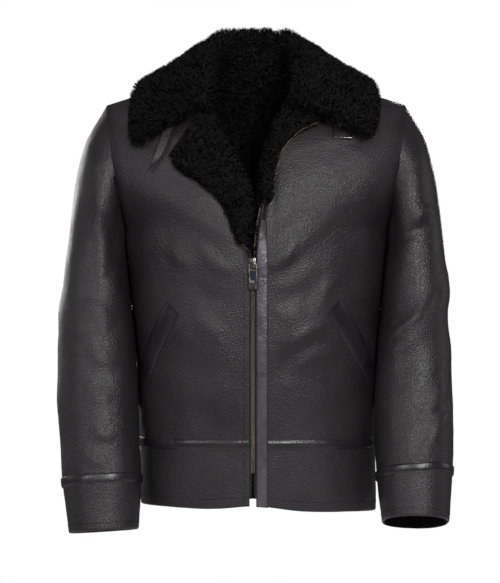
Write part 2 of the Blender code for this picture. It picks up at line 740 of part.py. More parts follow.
def wall_object(name, surface, normals, thickness, edges, slot, lift=0.0, gap=SEAM_GAP):
    """A cloth wall: the leather grid, short of its seams, and the same grid moved to the fleece side."""
    grid, facing, ring = surface
    thick = np.broadcast_to(np.asarray(thickness, float), grid.shape[:2])[..., None]
    raised = np.broadcast_to(np.asarray(lift, float), grid.shape[:2])[..., None]
    own = leather_normals({name: surface})[name]
    moves = seam_moves(grid, own, normals, edges, ring) * gap / SEAM_GAP
    outer = grid + moves + raised * normals
    inner = grid + moves + (raised - thick) * normals
    points, faces = wall_mesh(outer, inner, ring)
    return new_object(name, points, faces, slot)


def fleece_depth(front, grid):
    """Wall thickness of a front: deeper fleece where it is turned back."""
    folds = fold_reader(front)
    levels = panel_levels()
    depth = np.full(grid.shape[:2], SKIN)
    share = np.array([np.clip(folds(min(v, TOP_V))["folded"], 0, 1) for v in levels])
    turned = np.linspace(1, 0, front["edge_columns"] + 2)
    turned = np.minimum(1, 2.5 * turned)
    depth[:, : front["edge_columns"] + 2] += (LAPEL_FLEECE - SKIN) * share[:, None] * turned
    return depth


def build_body():
    """Surfaces of the body and sleeves, with shared normals, and the walls cut from them."""
    right_band, right = front_surfaces(WEARERS_RIGHT)
    left_band, left = front_surfaces(WEARERS_LEFT)
    back_band, back = back_surfaces()
    sleeve_r = sleeve_surface(SLEEVE_RIGHT, -1, sleeve_levels())
    sleeve_l = sleeve_surface(SLEEVE_LEFT, 1, sleeve_levels())
    cuff_r = sleeve_surface(SLEEVE_RIGHT, -1, cuff_levels())
    cuff_l = sleeve_surface(SLEEVE_LEFT, 1, cuff_levels())
    collar = collar_surface(neckline_points((right, left), back))
    surfaces = {
        "hem_band_right": (right_band, -1, False),
        "front_right": (right, -1, False),
        "hem_band_left": (left_band, 1, False),
        "front_left": (left, 1, False),
        "hem_band_back": (back_band, -1, False),
        "back": (back, -1, False),
        "sleeve_right": (sleeve_r, 1, True),
        "sleeve_left": (sleeve_l, -1, True),
        "cuff_right": (cuff_r, 1, True),
        "cuff_left": (cuff_l, -1, True),
        "collar": (collar, -1, False),
    }
    normals = leather_normals(surfaces)
    for name, (grid, facing, ring) in list(surfaces.items()):
        if name != "collar" and not name.startswith("hem_band"):
            surfaces[name] = (add_folds(grid, normals[name]), facing, ring)
    return surfaces, leather_normals(surfaces)


def cut_panels(surfaces, normals):
    """The walls of the body, sleeves and cuffs."""
    seams = {
        "hem_band_right": ("last_row", "last_column"),
        "front_right": ("first_row", "last_row", "last_column"),
        "hem_band_left": ("last_row", "last_column"),
        "front_left": ("first_row", "last_row", "last_column"),
        "hem_band_back": ("last_row", "first_column", "last_column"),
        "back": ("first_row", "last_row", "first_column", "last_column"),
        "sleeve_right": ("first_row", "last_row"),
        "sleeve_left": ("first_row", "last_row"),
        "cuff_right": ("first_row",),
        "cuff_left": ("first_row",),
    }
    for name, edges in seams.items():
        grid = surfaces[name][0]
        thickness = SKIN
        if name == "front_right":
            thickness = fleece_depth(WEARERS_RIGHT, grid)
        if name == "front_left":
            thickness = fleece_depth(WEARERS_LEFT, grid)
        wall_object(name, surfaces[name], normals[name], thickness, edges, "nappa")


def cut_collar(surfaces, normals):
    """The collar's wall: leather inside the roll and deep fur outside it."""
    grid = surfaces["collar"][0]
    share = np.linspace(0, 1, grid.shape[0])[:, None]
    grown = np.minimum(1, share / 0.25) * np.minimum(1, 0.45 + (1 - share) / 0.14)
    column = np.arange(grid.shape[1])
    from_end = np.minimum(column, column[::-1])
    grown = np.minimum(1, grown) * np.minimum(1, 0.55 + 0.15 * from_end)
    thickness = COLLAR_ROOT + (COLLAR_FUR - COLLAR_ROOT) * grown
    edges = ("first_row", "first_column", "last_column")
    wall_object("collar", surfaces["collar"], normals["collar"], thickness, edges, "fur", gap=COLLAR_GAP)


def tape_object(name, surface, normals, edges):
    """A smooth leather tape that rests on the points of the panel under it."""
    wall_object(name, surface, normals, TAPE, edges, "smooth_leather", REST_GAP + TAPE)


def cover_seams(surfaces, normals):
    """Tapes over the band seams and cuff seams, and the long tape beside the zip."""
    facing_columns = WEARERS_LEFT["edge_columns"]
    for side, first in (("right", 0), ("left", facing_columns), ("back", 0)):
        panel = "back" if side == "back" else "front_" + side
        band = "hem_band_" + side
        grids = (surfaces[band][0][-2:, first:], surfaces[panel][0][1:2, first:])
        tape_normals = (normals[band][-2:, first:], normals[panel][1:2, first:])
        edges = ("last_column",) if side == "right" else ("first_column", "last_column")
        surface = (np.concatenate(grids), surfaces[panel][1], False)
        tape_object("waist_tape_" + side, surface, np.concatenate(tape_normals), edges)
    for side in ("right", "left"):
        sleeve, cuff = "sleeve_" + side, "cuff_" + side
        grids = (surfaces[sleeve][0][-2:], surfaces[cuff][0][1:2])
        surface = (np.concatenate(grids), surfaces[sleeve][1], True)
        tape_normals = np.concatenate([normals[sleeve][-2:], normals[cuff][1:2]])
        tape_object("cuff_tape_" + side, surface, tape_normals, ())
    last = FACING_TOP_ROW
    columns = slice(0, facing_columns + 1)
    band, panel = surfaces["hem_band_left"][0], surfaces["front_left"][0]
    grid = np.concatenate([band[:-1, columns], panel[:last, columns]])
    parts = [normals["hem_band_left"][:-1, columns], normals["front_left"][:last, columns]]
    tape_normals = np.concatenate(parts)
    tape_object("zip_facing", (grid, 1, False), tape_normals, ("last_column",))


def read_grid(grid, row, column):
    """A grid at any fractional row and column."""
    r = int(np.clip(row, 0, grid.shape[0] - 2))
    c = int(np.clip(column, 0, grid.shape[1] - 2))
    s, t = row - r, column - c
    low = grid[r, c] * (1 - t) + grid[r, c + 1] * t
    high = grid[r + 1, c] * (1 - t) + grid[r + 1, c + 1] * t
    return low * (1 - s) + high * s


def add_pockets(surfaces, normals):
    """A slanted welt on each front, made from the front's own surface moved out."""
    levels = panel_levels()
    shares = split_fractions(NECK_SHARE)
    for side, front in (("right", WEARERS_RIGHT), ("left", WEARERS_LEFT)):
        corners = {name: np.array(at) for name, at in POCKET_CORNERS[side].items()}
        name = "front_" + side
        grid, facing, _ = surfaces[name]
        points, out = [], []
        for s in np.linspace(0, 1, POCKET_STEPS + 1):
            inner = corners["top_in"] * (1 - s) + corners["low_in"] * s
            outer = corners["top_out"] * (1 - s) + corners["low_out"] * s
            for t in (0.0, 0.5, 1.0):
                share, z = inner * (1 - t) + outer * t
                row = np.interp(z, levels, np.arange(len(levels)))
                column = front["edge_columns"] + np.interp(share, shares, np.arange(len(shares)))
                points.append(read_grid(grid, row, column))
                out.append(read_grid(normals[name], row, column))
        patch = np.array(points).reshape(-1, 3, 3)
        patch_normals = unit(np.array(out).reshape(-1, 3, 3))
        welt = (patch, -facing, False)
        lift = POCKET_REST + POCKET_WELT
        wall_object("pocket_welt_" + side, welt, patch_normals, POCKET_WELT, (), "smooth_leather", lift)


def add_zip_tapes(surfaces, normals):
    """A tape along each front's free edge, from near the hem to the top of the lapel."""
    for side, front in (("right", WEARERS_RIGHT), ("left", WEARERS_LEFT)):
        band, panel = "hem_band_" + side, "front_" + side
        grid = np.concatenate([surfaces[band][0][1:-1], surfaces[panel][0]])
        out = np.concatenate([normals[band][1:-1], normals[panel]])
        edge, facing_out = grid[:, 0], out[:, 0]
        along = unit(np.gradient(edge, axis=0))
        outward = unit(edge - grid[:, 1])
        outward = unit(outward - np.sum(outward * along, axis=1)[:, None] * along)
        reach = ZIP_GAP + np.array(ZIP_REACH)
        tape = edge[:, None] + reach[None, :, None] * outward[:, None]
        tape_normals = np.repeat(facing_out[:, None], len(reach), axis=1)
        thick = np.array(ZIP_THICK)[None, :]
        surface = (tape, -surfaces[panel][1], False)
        wall_object("zip_tape_" + side, surface, tape_normals, thick, (), "zip_tape", thick / 2 - ZIP_SINK)


def blocks(xs, ys, zs, filled):
    """Points and faces of the closed solid made of the filled cells of a box grid."""
    count = (len(xs), len(ys), len(zs))
    points = np.array([(x, y, z) for x in xs for y in ys for z in zs])
    steps = (count[1] * count[2], count[2], 1)
    cells = {(i, j, k) for i, j, k in filled}
    faces = []
    for cell in sorted(cells):
        base = sum(c * s for c, s in zip(cell, steps))
        for axis in range(3):
            u, v = steps[(axis + 1) % 3], steps[(axis + 2) % 3]
            for way in (-1, 1):
                other = list(cell)
                other[axis] += way
                if tuple(other) in cells:
                    continue
                start = base + (steps[axis] if way > 0 else 0)
                face = (start, start + u, start + u + v, start + v)
                faces.append(face if way > 0 else face[::-1])
    used = sorted({i for face in faces for i in face})
    place = {old: new for new, old in enumerate(used)}
    return points[used], [tuple(place[i] for i in face) for face in faces]


def turned_about_x(points, degrees):
    a = math.radians(degrees)
    turn = np.array([[1, 0, 0], [0, math.cos(a), -math.sin(a)], [0, math.sin(a), math.cos(a)]])
    return points @ turn.T


def add_slider():
    """The zip's slider with its bridge, the pull that hangs in it and the pull's coloured insert."""
    plate = [(i, 2, k) for i in range(3) for k in range(5)]
    bridge = [(1, 0, 1), (1, 0, 2), (1, 0, 3), (1, 1, 1), (1, 1, 3)]
    points, faces = blocks(SLIDER_X, SLIDER_Y, SLIDER_Z, plate + bridge)
    new_object("zip_slider", points + SLIDER_AT, faces, "gunmetal", 30)
    rim = [(i, 0, k) for i in (0, 2) for k in range(5)]
    bars = [(1, 0, 0), (1, 0, 2), (1, 0, 4)]
    points, faces = blocks(PULL_X, PULL_Y, PULL_Z, rim + bars)
    new_object("zip_pull", points + SLIDER_AT, faces, "gunmetal", 30)
    half = INSERT["width"] / 2
    points, faces = blocks((-half, half), INSERT["y"], INSERT["z"], [(0, 0, 0)])
    new_object("zip_pull_insert", points + SLIDER_AT, faces, "insert", 30)


def add_strap():
    """The throat strap that hangs from under the collar on the wearer's right."""
    read = table(("s", *STRAP_COLUMNS), [(i, *row) for i, row in enumerate(STRAP_PATH)], "s")
    rows = []
    for s in np.linspace(0, len(STRAP_PATH) - 1, 13):
        at = read(s)
        a = math.radians(at["turn"])
        across = np.array([math.cos(a), 0.35 * math.sin(a), math.sin(a)])
        middle = np.array([at["x"], at["y"], at["z"]])
        rows.append([middle + t * at["width"] * unit(across) for t in (-0.5, 0.0, 0.5)])
    strap = (np.array(rows), 1, False)
    out = leather_normals({"strap": strap})["strap"]
    wall_object("throat_strap", strap, out, STRAP_THICK, (), "smooth_leather")


def add_buckle():
    """The strap's buckle on the wearer's left, in its loop of leather."""
    frame = [(i, 0, k) for i in range(3) for k in range(3) if i != 1 or k != 1]
    points, faces = blocks(BUCKLE_X, BUCKLE_Y, BUCKLE_Z, frame)
    new_object("buckle_frame", turned_about_x(points, BUCKLE_TIP) + BUCKLE_AT, faces, "gunmetal", 30)
    turn = np.linspace(0, math.pi, 7)
    around = [(-CHAPE_ROOM * math.cos(t), -CHAPE_ROOM * math.sin(t)) for t in turn]
    path = [(around[0][0], CHAPE_LENGTH), *around, (around[-1][0], CHAPE_LENGTH)]
    grid = np.array([[(x, y, z) for x in (-CHAPE_HALF_WIDTH, CHAPE_HALF_WIDTH)] for y, z in path])
    grid = turned_about_x(grid, BUCKLE_TIP) + BUCKLE_AT
    chape = (grid, -1, False)
    out = leather_normals({"chape": chape})["chape"]
    wall_object("buckle_chape", chape, out, CHAPE_THICK, (), "smooth_leather", CHAPE_THICK)


def clear_scene():
    for obj in list(bpy.data.objects):
        bpy.data.objects.remove(obj, do_unlink=True)


def main():
    clear_scene()
    surfaces, normals = build_body()
    cut_panels(surfaces, normals)
    cut_collar(surfaces, normals)
    cover_seams(surfaces, normals)
    add_pockets(surfaces, normals)
    add_zip_tapes(surfaces, normals)
    add_slider()
    add_strap()
    add_buckle()


main()
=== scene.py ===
import math

import bmesh
import bpy
import numpy as np
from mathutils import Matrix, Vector, noise
from mathutils.kdtree import KDTree


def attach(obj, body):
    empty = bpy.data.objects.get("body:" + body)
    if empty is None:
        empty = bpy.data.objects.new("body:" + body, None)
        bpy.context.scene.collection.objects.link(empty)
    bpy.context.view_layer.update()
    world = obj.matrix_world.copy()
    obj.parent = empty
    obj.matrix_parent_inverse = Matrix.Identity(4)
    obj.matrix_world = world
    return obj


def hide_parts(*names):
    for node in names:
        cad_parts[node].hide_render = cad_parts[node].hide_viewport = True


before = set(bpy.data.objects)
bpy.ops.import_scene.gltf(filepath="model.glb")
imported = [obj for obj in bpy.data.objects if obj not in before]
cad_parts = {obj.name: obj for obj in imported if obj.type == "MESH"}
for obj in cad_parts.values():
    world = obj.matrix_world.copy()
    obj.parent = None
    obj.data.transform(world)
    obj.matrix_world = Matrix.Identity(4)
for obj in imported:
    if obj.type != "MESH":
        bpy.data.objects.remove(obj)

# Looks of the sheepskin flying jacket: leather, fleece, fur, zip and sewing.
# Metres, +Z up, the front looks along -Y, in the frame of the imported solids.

# Wall thicknesses and clearances
SEAM_GAP = 0.0003
SKIN = 0.006
LAPEL_FLEECE = 0.008
COLLAR_ROOT = 0.006
COLLAR_FUR = 0.017
TAPE = 0.0013
REST_GAP = 0.0004

# Levels of the body, from the hem up
HEM_Z = -0.672
BAND_SEAM_Z = -0.571
BAND_TAPE_HALF = 0.0078
ARMPIT_Z = -0.240
ZIP_SPLIT_Z = -0.292
UPPER_SPAN = 0.220
TOP_V = ARMPIT_Z + UPPER_SPAN

# Shoulder and neck
NECK_POINT = (0.090, 0.008, 0.0)
SHOULDER_RISE = 0.006
BACK_NECK = (0.0, 0.086, -0.014)
ARMHOLE = {
    "x": 0.2205, "x_swing": 0.0155,
    "y": 0.010, "half_depth": 0.088,
    "z": -0.1395, "half_height": 0.0995,
}

# Columns and rows of the panels
NECK_COLUMNS = 5
SHOULDER_COLUMNS = 7
LOWER_LEVELS = (-0.520, -0.476, -0.432, -0.388, -0.344, -0.306, -0.284, -0.262)
UPPER_ROWS = 10
NECK_SHARE = 0.4

# Sections of the body up to the armpit: level, half width, side seam, front, back
BODY_COLUMNS = ("z", "half_width", "side_y", "front_y", "back_y")
BODY_SECTIONS = (
    (-0.690, 0.1815, 0.004, -0.110, 0.108),
    (-0.571, 0.1820, 0.004, -0.118, 0.110),
    (-0.470, 0.1850, 0.003, -0.128, 0.113),
    (-0.360, 0.1900, 0.003, -0.135, 0.118),
    (-0.290, 0.1960, 0.005, -0.137, 0.125),
    (-0.240, 0.2050, 0.010, -0.135, 0.131),
)
BODY_SQUARENESS = 2.5

# Rows from the armpit to the shoulder: armhole angle, then level, depth and fullness at the middle
UPPER_COLUMNS = ("angle", "front_z", "front_y", "front_full", "back_z", "back_y", "back_full")
UPPER_SECTIONS = (
    (45.0, -0.213, -0.132, 0.62, -0.205, 0.136, 0.62),
    (90.0, -0.174, -0.126, 0.80, -0.155, 0.137, 0.80),
    (135.0, -0.124, -0.112, 0.86, -0.105, 0.131, 0.86),
    (160.0, -0.080, -0.097, 0.90, -0.062, 0.114, 0.90),
)
UPPER_SQUARENESS = 2.6

# The two front edges. x is measured from the middle towards each front's own side.
# fold: where the front turns back. edge: where its free edge then lies, and how far it lifts.
FOLD_COLUMNS = ("v", "fold_x", "edge_x", "edge_z", "lift", "folded")
WEARERS_RIGHT = {
    "side": -1,
    "zip_x": 0.005,
    "edge_gap": 0.0051,
    "edge_band": 0.012,
    "edge_columns": 7,
    "neck_end": (0.081, -0.080, -0.042),
    "folds": (
        (-0.268, 0.019, 0.016, -0.268, 0.008, 0.50),
        (-0.240, 0.016, 0.027, -0.241, 0.010, 1.0),
        (-0.185, 0.014, 0.043, -0.204, 0.007, 1.0),
        (-0.130, 0.019, 0.070, -0.176, 0.006, 1.0),
        (-0.075, 0.044, 0.099, -0.154, 0.005, 1.0),
        (-0.0444, 0.066, 0.117, -0.141, 0.004, 1.0),
        (-0.020, 0.081, 0.127, -0.120, 0.004, 1.0),
    ),
}
WEARERS_LEFT = {
    "side": 1,
    "zip_x": -0.005,
    "edge_gap": 0.0051,
    "edge_band": 0.018,
    "edge_columns": 6,
    "neck_end": (0.064, -0.084, -0.036),
    "folds": (
        (-0.268, 0.0165, 0.0015, -0.268, 0.002, 0.20),
        (-0.240, 0.0160, 0.0045, -0.240, 0.006, 0.45),
        (-0.212, 0.0165, 0.0085, -0.217, 0.010, 0.70),
        (-0.185, 0.0175, 0.0130, -0.196, 0.013, 0.88),
        (-0.130, 0.020, 0.024, -0.160, 0.014, 1.0),
        (-0.075, 0.026, 0.041, -0.114, 0.013, 1.0),
        (-0.0444, 0.040, 0.064, -0.089, 0.011, 1.0),
        (-0.020, 0.064, 0.096, -0.074, 0.009, 1.0),
    ),
}
ROLL_BULGE = 0.006

# Sleeves: each row is a ring, by its inner and outer point, its middle and its half depth
SLEEVE_COLUMNS = ("x_in", "z_in", "x_out", "z_out", "y", "half_depth", "tilt")
SLEEVE_RIGHT = (
    (0.2060, -0.2500, 0.2690, -0.1010, 0.004, 0.087, 0.0),
    (0.2080, -0.2620, 0.2860, -0.1750, -0.001, 0.083, 2.0),
    (0.2085, -0.2800, 0.2940, -0.2480, -0.010, 0.077, 5.0),
    (0.2020, -0.3540, 0.3045, -0.3460, -0.026, 0.071, 8.0),
    (0.1910, -0.4300, 0.3090, -0.4270, -0.042, 0.067, 10.0),
    (0.1850, -0.5050, 0.3080, -0.5050, -0.057, 0.064, 11.0),
    (0.1820, -0.5680, 0.3035, -0.5680, -0.070, 0.061, 11.0),
    (0.1790, -0.6240, 0.2980, -0.6320, -0.081, 0.059, 10.0),
    (0.1800, -0.7010, 0.2870, -0.7080, -0.093, 0.056, 8.0),
)
SLEEVE_LEFT = (
    (0.2060, -0.2500, 0.2690, -0.1010, 0.004, 0.087, 0.0),
    (0.2080, -0.2620, 0.2860, -0.1750, -0.001, 0.083, 2.0),
    (0.2085, -0.2800, 0.2940, -0.2480, -0.011, 0.077, 5.0),
    (0.2030, -0.3540, 0.3010, -0.3460, -0.028, 0.072, 9.0),
    (0.1945, -0.4270, 0.3040, -0.4270, -0.045, 0.069, 12.0),
    (0.1895, -0.5050, 0.3040, -0.5050, -0.062, 0.066, 14.0),
    (0.1895, -0.5680, 0.3040, -0.5640, -0.078, 0.064, 15.0),
    (0.1945, -0.6190, 0.3015, -0.6130, -0.092, 0.061, 16.0),
    (0.2000, -0.6880, 0.2940, -0.6900, -0.110, 0.056, 17.0),
)
SLEEVE_ROWS = 25
CUFF_ROWS = 4
CUFF_SEAM_RING = 8.0
CUFF_END_RING = 9.0
CUFF_TAPE_HALF = 0.105
FACING_TOP_ROW = 12

# Collar: at each place round the neck, where it rolls over and where its free edge lies
COLLAR_COLUMNS = ("a", "roll_x", "roll_y", "roll_z", "edge_x", "edge_y", "edge_z", "crown")
COLLAR_STATIONS = (
    (-1.00, -0.084, -0.108, -0.046, -0.184, -0.102, -0.116, 0.006),
    (-0.75, -0.083, -0.058, 0.010, -0.187, -0.069, -0.067, 0.004),
    (-0.52, -0.080, 0.010, 0.044, -0.178, 0.006, -0.014, -0.002),
    (-0.25, -0.060, 0.084, 0.076, -0.112, 0.106, -0.038, 0.003),
    (0.00, 0.000, 0.097, 0.080, 0.000, 0.112, -0.028, 0.003),
    (0.25, 0.060, 0.084, 0.078, 0.112, 0.106, -0.038, 0.003),
    (0.52, 0.074, 0.010, 0.048, 0.178, 0.006, -0.013, -0.002),
    (0.75, 0.077, -0.058, 0.006, 0.181, -0.070, -0.059, 0.004),
    (1.00, 0.070, -0.113, -0.042, 0.178, -0.103, -0.104, 0.006),
)
COLLAR_ROLL = 0.006
COLLAR_PROFILE = 14
COLLAR_GAP = 0.0020
COLLAR_SHORT = 0.008

# Largest folds: a soft ridge or trough between two points, with its width and height
FOLD_LINE_COLUMNS = ("x0", "y0", "z0", "x1", "y1", "z1", "width", "height")
LARGEST_FOLDS = (
    (0.022, -0.140, -0.285, 0.105, -0.130, -0.215, 0.018, 0.0040),
    (0.030, -0.140, -0.420, 0.130, -0.125, -0.350, 0.020, 0.0040),
    (-0.030, -0.140, -0.250, -0.120, -0.125, -0.190, 0.020, 0.0035),
    (-0.040, -0.140, -0.440, -0.130, -0.125, -0.380, 0.022, 0.0030),
    (-0.226, -0.088, -0.150, -0.226, -0.095, -0.330, 0.018, 0.0060),
    (-0.262, -0.080, -0.180, -0.255, -0.105, -0.400, 0.018, -0.0040),
    (-0.300, -0.030, -0.360, -0.235, -0.110, -0.410, 0.018, 0.0050),
    (-0.290, -0.070, -0.500, -0.215, -0.120, -0.540, 0.020, 0.0040),
    (0.235, -0.082, -0.170, 0.222, -0.095, -0.290, 0.017, 0.0060),
    (0.297, -0.050, -0.320, 0.210, -0.110, -0.420, 0.018, 0.0070),
    (0.300, -0.050, -0.375, 0.215, -0.110, -0.470, 0.017, -0.0050),
    (0.290, -0.090, -0.520, 0.235, -0.140, -0.590, 0.020, 0.0045),
    (-0.100, 0.150, -0.290, 0.060, 0.140, -0.340, 0.024, 0.0040),
    (0.120, 0.140, -0.250, 0.000, 0.140, -0.420, 0.024, -0.0035),
    (-0.130, 0.120, -0.480, 0.110, 0.120, -0.510, 0.024, 0.0035),
    (-0.290, 0.060, -0.320, -0.235, 0.050, -0.400, 0.020, 0.0055),
    (0.290, 0.060, -0.310, 0.235, 0.050, -0.400, 0.020, 0.0055),
    (-0.290, 0.040, -0.480, -0.225, 0.020, -0.440, 0.020, 0.0045),
    (0.290, 0.040, -0.470, 0.225, 0.020, -0.430, 0.020, 0.0045),
)

# Pocket welts: each corner by its share of the row from the fold column to the side seam, and its level
POCKET_CORNERS = {
    "right": {
        "top_in": (0.40, -0.370), "top_out": (0.475, -0.352),
        "low_in": (0.76, -0.520), "low_out": (0.85, -0.502),
    },
    "left": {
        "top_in": (0.36, -0.367), "top_out": (0.45, -0.348),
        "low_in": (0.79, -0.516), "low_out": (0.885, -0.498),
    },
}
POCKET_WELT = 0.0022
POCKET_STEPS = 10
POCKET_REST = 0.0009

# Zip: a tape along each front edge with its row of teeth as one bead, a slider and its pull
ZIP_REACH = (0.0, 0.0012, 0.0014, 0.0034)
ZIP_THICK = (0.0012, 0.0012, 0.0028, 0.0028)
ZIP_SINK = 0.0022
ZIP_GAP = 0.0012
SLIDER_AT = (-0.0050, -0.1414, -0.2930)
SLIDER_X = (-0.0048, -0.0015, 0.0015, 0.0048)
SLIDER_Y = (-0.0046, -0.0034, -0.0008, 0.0012)
SLIDER_Z = (-0.0075, -0.0045, -0.0031, 0.0031, 0.0045, 0.0075)
PULL_X = (-0.0065, -0.0045, 0.0045, 0.0065)
PULL_Y = (-0.0029, -0.0013)
PULL_Z = (-0.0395, -0.0265, -0.0120, -0.0100, -0.0027, -0.0011)
INSERT = {"width": 0.0083, "z": (-0.0261, -0.0124), "y": (-0.0027, -0.0015)}

# Throat strap: points down its middle, and its width at each
STRAP_COLUMNS = ("x", "y", "z", "width", "turn")
STRAP_PATH = (
    (-0.130, -0.0967, -0.0685, 0.014, 20.0),
    (-0.132, -0.0985, -0.080, 0.016, 20.0),
    (-0.136, -0.1030, -0.091, 0.016, 20.0),
    (-0.143, -0.1110, -0.112, 0.016, 24.0),
    (-0.152, -0.1160, -0.133, 0.014, 30.0),
    (-0.163, -0.1160, -0.150, 0.008, 36.0),
)
STRAP_THICK = 0.0024

# Buckle: a wire frame hung in a loop of leather under the collar, tipped to lie on the chest
BUCKLE_AT = (0.1325, -0.0940, -0.0800)
BUCKLE_TIP = -27.0
BUCKLE_X = (-0.0150, -0.0128, 0.0128, 0.0150)
BUCKLE_Y = (-0.0011, 0.0011)
BUCKLE_Z = (-0.0240, -0.0218, -0.0011, 0.0011)
CHAPE_HALF_WIDTH = 0.007
CHAPE_THICK = 0.0016
CHAPE_ROOM = 0.0020
CHAPE_LENGTH = 0.016


# Fineness of the shown surfaces, and the turned edges of hems and cuffs
STEPS = 5
EDGE_ROWS = (0.0005, 0.0012, 0.0022)
SHARP_ANGLE = 50.0

# The skin's own unevenness and the fleece's lumps: heights in metres, scales in lumps per metre
LEAN = {
    "z": (-0.675, -0.65, -0.62, -0.60, -0.53, -0.45, -0.41, -0.39, -0.34, -0.30, -0.27, -0.22),
    "right_arm": (0.0, 0.0010, 0.0013, 0.0016, 0.0024, 0.0026, 0.0040, 0.0054, 0.0070, 0.0068, 0.0060, 0.0),
    "left_arm": (0.0078, 0.0088, 0.0084, 0.0072, 0.0056, 0.0054, 0.0054, 0.0058, 0.0076, 0.0074, 0.0052, 0.0),
}
LEAN_FADE = 0.045
BODY_LEAN_X = 0.125
SLEEVE_LEAN_X = 0.245
HAND_HEIGHT = 0.0012
HAND_SCALE = 20.0
FINE_HEIGHT = 0.0003
FINE_SCALE = 95.0
FLEECE_LUMP = 0.0025
FLEECE_SCALE = 110.0

# Smaller creases, as lines seen from the front (face -1) or the back (1), each a little bowed
CREASE_SHARE = 1.6
CREASE_COLUMNS = ("face", "x0", "z0", "x1", "z1", "bow", "width", "height")
CREASES = (
    (-1, 0.051, -0.419, 0.106, -0.391, 0.006, 0.007, 0.0022),
    (-1, 0.030, -0.372, 0.072, -0.352, -0.006, 0.012, 0.0016),
    (-1, 0.066, -0.446, 0.118, -0.428, 0.004, 0.009, 0.0014),
    (-1, 0.046, -0.470, 0.062, -0.415, 0.008, 0.011, -0.0018),
    (-1, 0.100, -0.352, 0.118, -0.318, 0.004, 0.009, 0.0018),
    (-1, 0.020, -0.300, 0.060, -0.262, -0.006, 0.010, 0.0018),
    (-1, 0.026, -0.330, 0.088, -0.296, -0.008, 0.014, 0.0014),
    (-1, -0.032, -0.306, -0.086, -0.268, 0.008, 0.013, 0.0018),
    (-1, -0.038, -0.352, -0.098, -0.322, 0.008, 0.014, -0.0014),
    (-1, -0.052, -0.400, -0.094, -0.362, 0.006, 0.012, 0.0014),
    (-1, -0.044, -0.470, -0.080, -0.512, 0.006, 0.013, 0.0014),
    (-1, -0.100, -0.300, -0.128, -0.262, 0.006, 0.012, 0.0014),
    (-1, 0.246, -0.230, 0.276, -0.208, 0.006, 0.009, 0.0026),
    (-1, 0.222, -0.262, 0.270, -0.236, 0.006, 0.010, -0.0022),
    (-1, 0.262, -0.352, 0.212, -0.402, 0.004, 0.006, 0.0026),
    (-1, 0.284, -0.322, 0.252, -0.368, 0.004, 0.006, -0.0020),
    (-1, 0.200, -0.408, 0.222, -0.404, 0.002, 0.003, 0.0016),
    (-1, 0.200, -0.415, 0.226, -0.412, 0.002, 0.003, -0.0016),
    (-1, 0.202, -0.423, 0.222, -0.424, -0.002, 0.003, 0.0014),
    (-1, 0.204, -0.388, 0.220, -0.380, 0.002, 0.003, 0.0014),
    (-1, 0.208, -0.368, 0.226, -0.356, 0.002, 0.003, 0.0012),
    (-1, 0.286, -0.470, 0.258, -0.520, 0.006, 0.011, 0.0024),
    (-1, 0.268, -0.560, 0.290, -0.520, 0.004, 0.009, 0.0026),
    (-1, 0.240, -0.580, 0.262, -0.545, 0.004, 0.009, -0.0018),
    (-1, -0.246, -0.180, -0.252, -0.250, 0.006, 0.010, 0.0028),
    (-1, -0.232, -0.220, -0.226, -0.318, 0.008, 0.012, -0.0030),
    (-1, -0.262, -0.350, -0.226, -0.392, 0.006, 0.013, 0.0024),
    (-1, -0.256, -0.420, -0.214, -0.446, -0.006, 0.012, 0.0020),
    (-1, -0.258, -0.480, -0.222, -0.500, -0.006, 0.012, 0.0020),
    (-1, -0.250, -0.540, -0.216, -0.556, -0.005, 0.011, 0.0018),
    (-1, -0.262, -0.580, -0.226, -0.596, -0.004, 0.010, 0.0014),
    (1, -0.060, -0.250, 0.040, -0.275, 0.010, 0.012, 0.0020),
    (1, 0.080, -0.300, 0.150, -0.250, 0.010, 0.012, 0.0020),
    (1, -0.150, -0.330, -0.080, -0.300, 0.010, 0.012, -0.0018),
    (1, -0.100, -0.430, 0.000, -0.445, 0.010, 0.013, 0.0018),
    (1, 0.040, -0.500, 0.130, -0.480, 0.008, 0.011, 0.0016),
    (1, 0.220, -0.330, 0.280, -0.300, 0.006, 0.009, 0.0024),
    (1, 0.210, -0.410, 0.280, -0.390, 0.006, 0.009, 0.0022),
    (1, -0.220, -0.320, -0.282, -0.300, 0.006, 0.009, 0.0024),
    (1, -0.210, -0.420, -0.276, -0.380, 0.006, 0.009, 0.0022),
    (1, -0.216, -0.520, -0.270, -0.500, 0.006, 0.010, 0.0018),
    (1, 0.214, -0.530, 0.276, -0.500, 0.006, 0.010, 0.0018),
)

# Fur. Lengths in metres; comb is the way that it lies
COLLAR_HAIR = {
    "seed": 3, "count": 66000, "length": 0.0105, "width": 0.0010, "lean": 0.40, "stray": 0.20,
    "comb": (0.0, 0.0, -1.0), "per_lock": 12, "gather": 0.25, "relief": 0.25,
}
LAPEL_HAIR = {
    "seed": 5, "count": 26000, "length": 0.0070, "width": 0.0010, "lean": 0.15, "stray": 0.35,
    "comb": (0.0, 0.0, -1.0), "per_lock": 22, "gather": 0.50, "relief": 0.60,
}
INSIDE_HAIR = {
    "seed": 7, "count": 22000, "length": 0.0060, "width": 0.0014, "lean": 0.20, "stray": 0.40,
    "comb": (0.0, 0.0, -1.0), "per_lock": 30, "gather": 0.60, "relief": 0.80,
}

# Sewing. Stitches are near-black thread drawn wider than the thread, so that they also carry the painted shade of
# their holes.
STITCH = {"pitch": 0.0046, "length": 0.0028, "half_width": 0.00070, "rise": 0.00055}
TAPE_STITCH = 0.0020
TAPE_CROWN = 0.0007
FACING_CROWN = 0.0014
HEM_STITCH = 0.0150
CUFF_STITCH = 0.0120
EDGE_STITCH = 0.0080
LAP_STITCHES = (0.0020, 0.0075)

# Zip teeth
TOOTH = {"pitch": 0.0029, "reach": (0.0022, 0.0051), "half_along": 0.0006, "half_thick": 0.0013}
TEETH_START_Z = -0.613

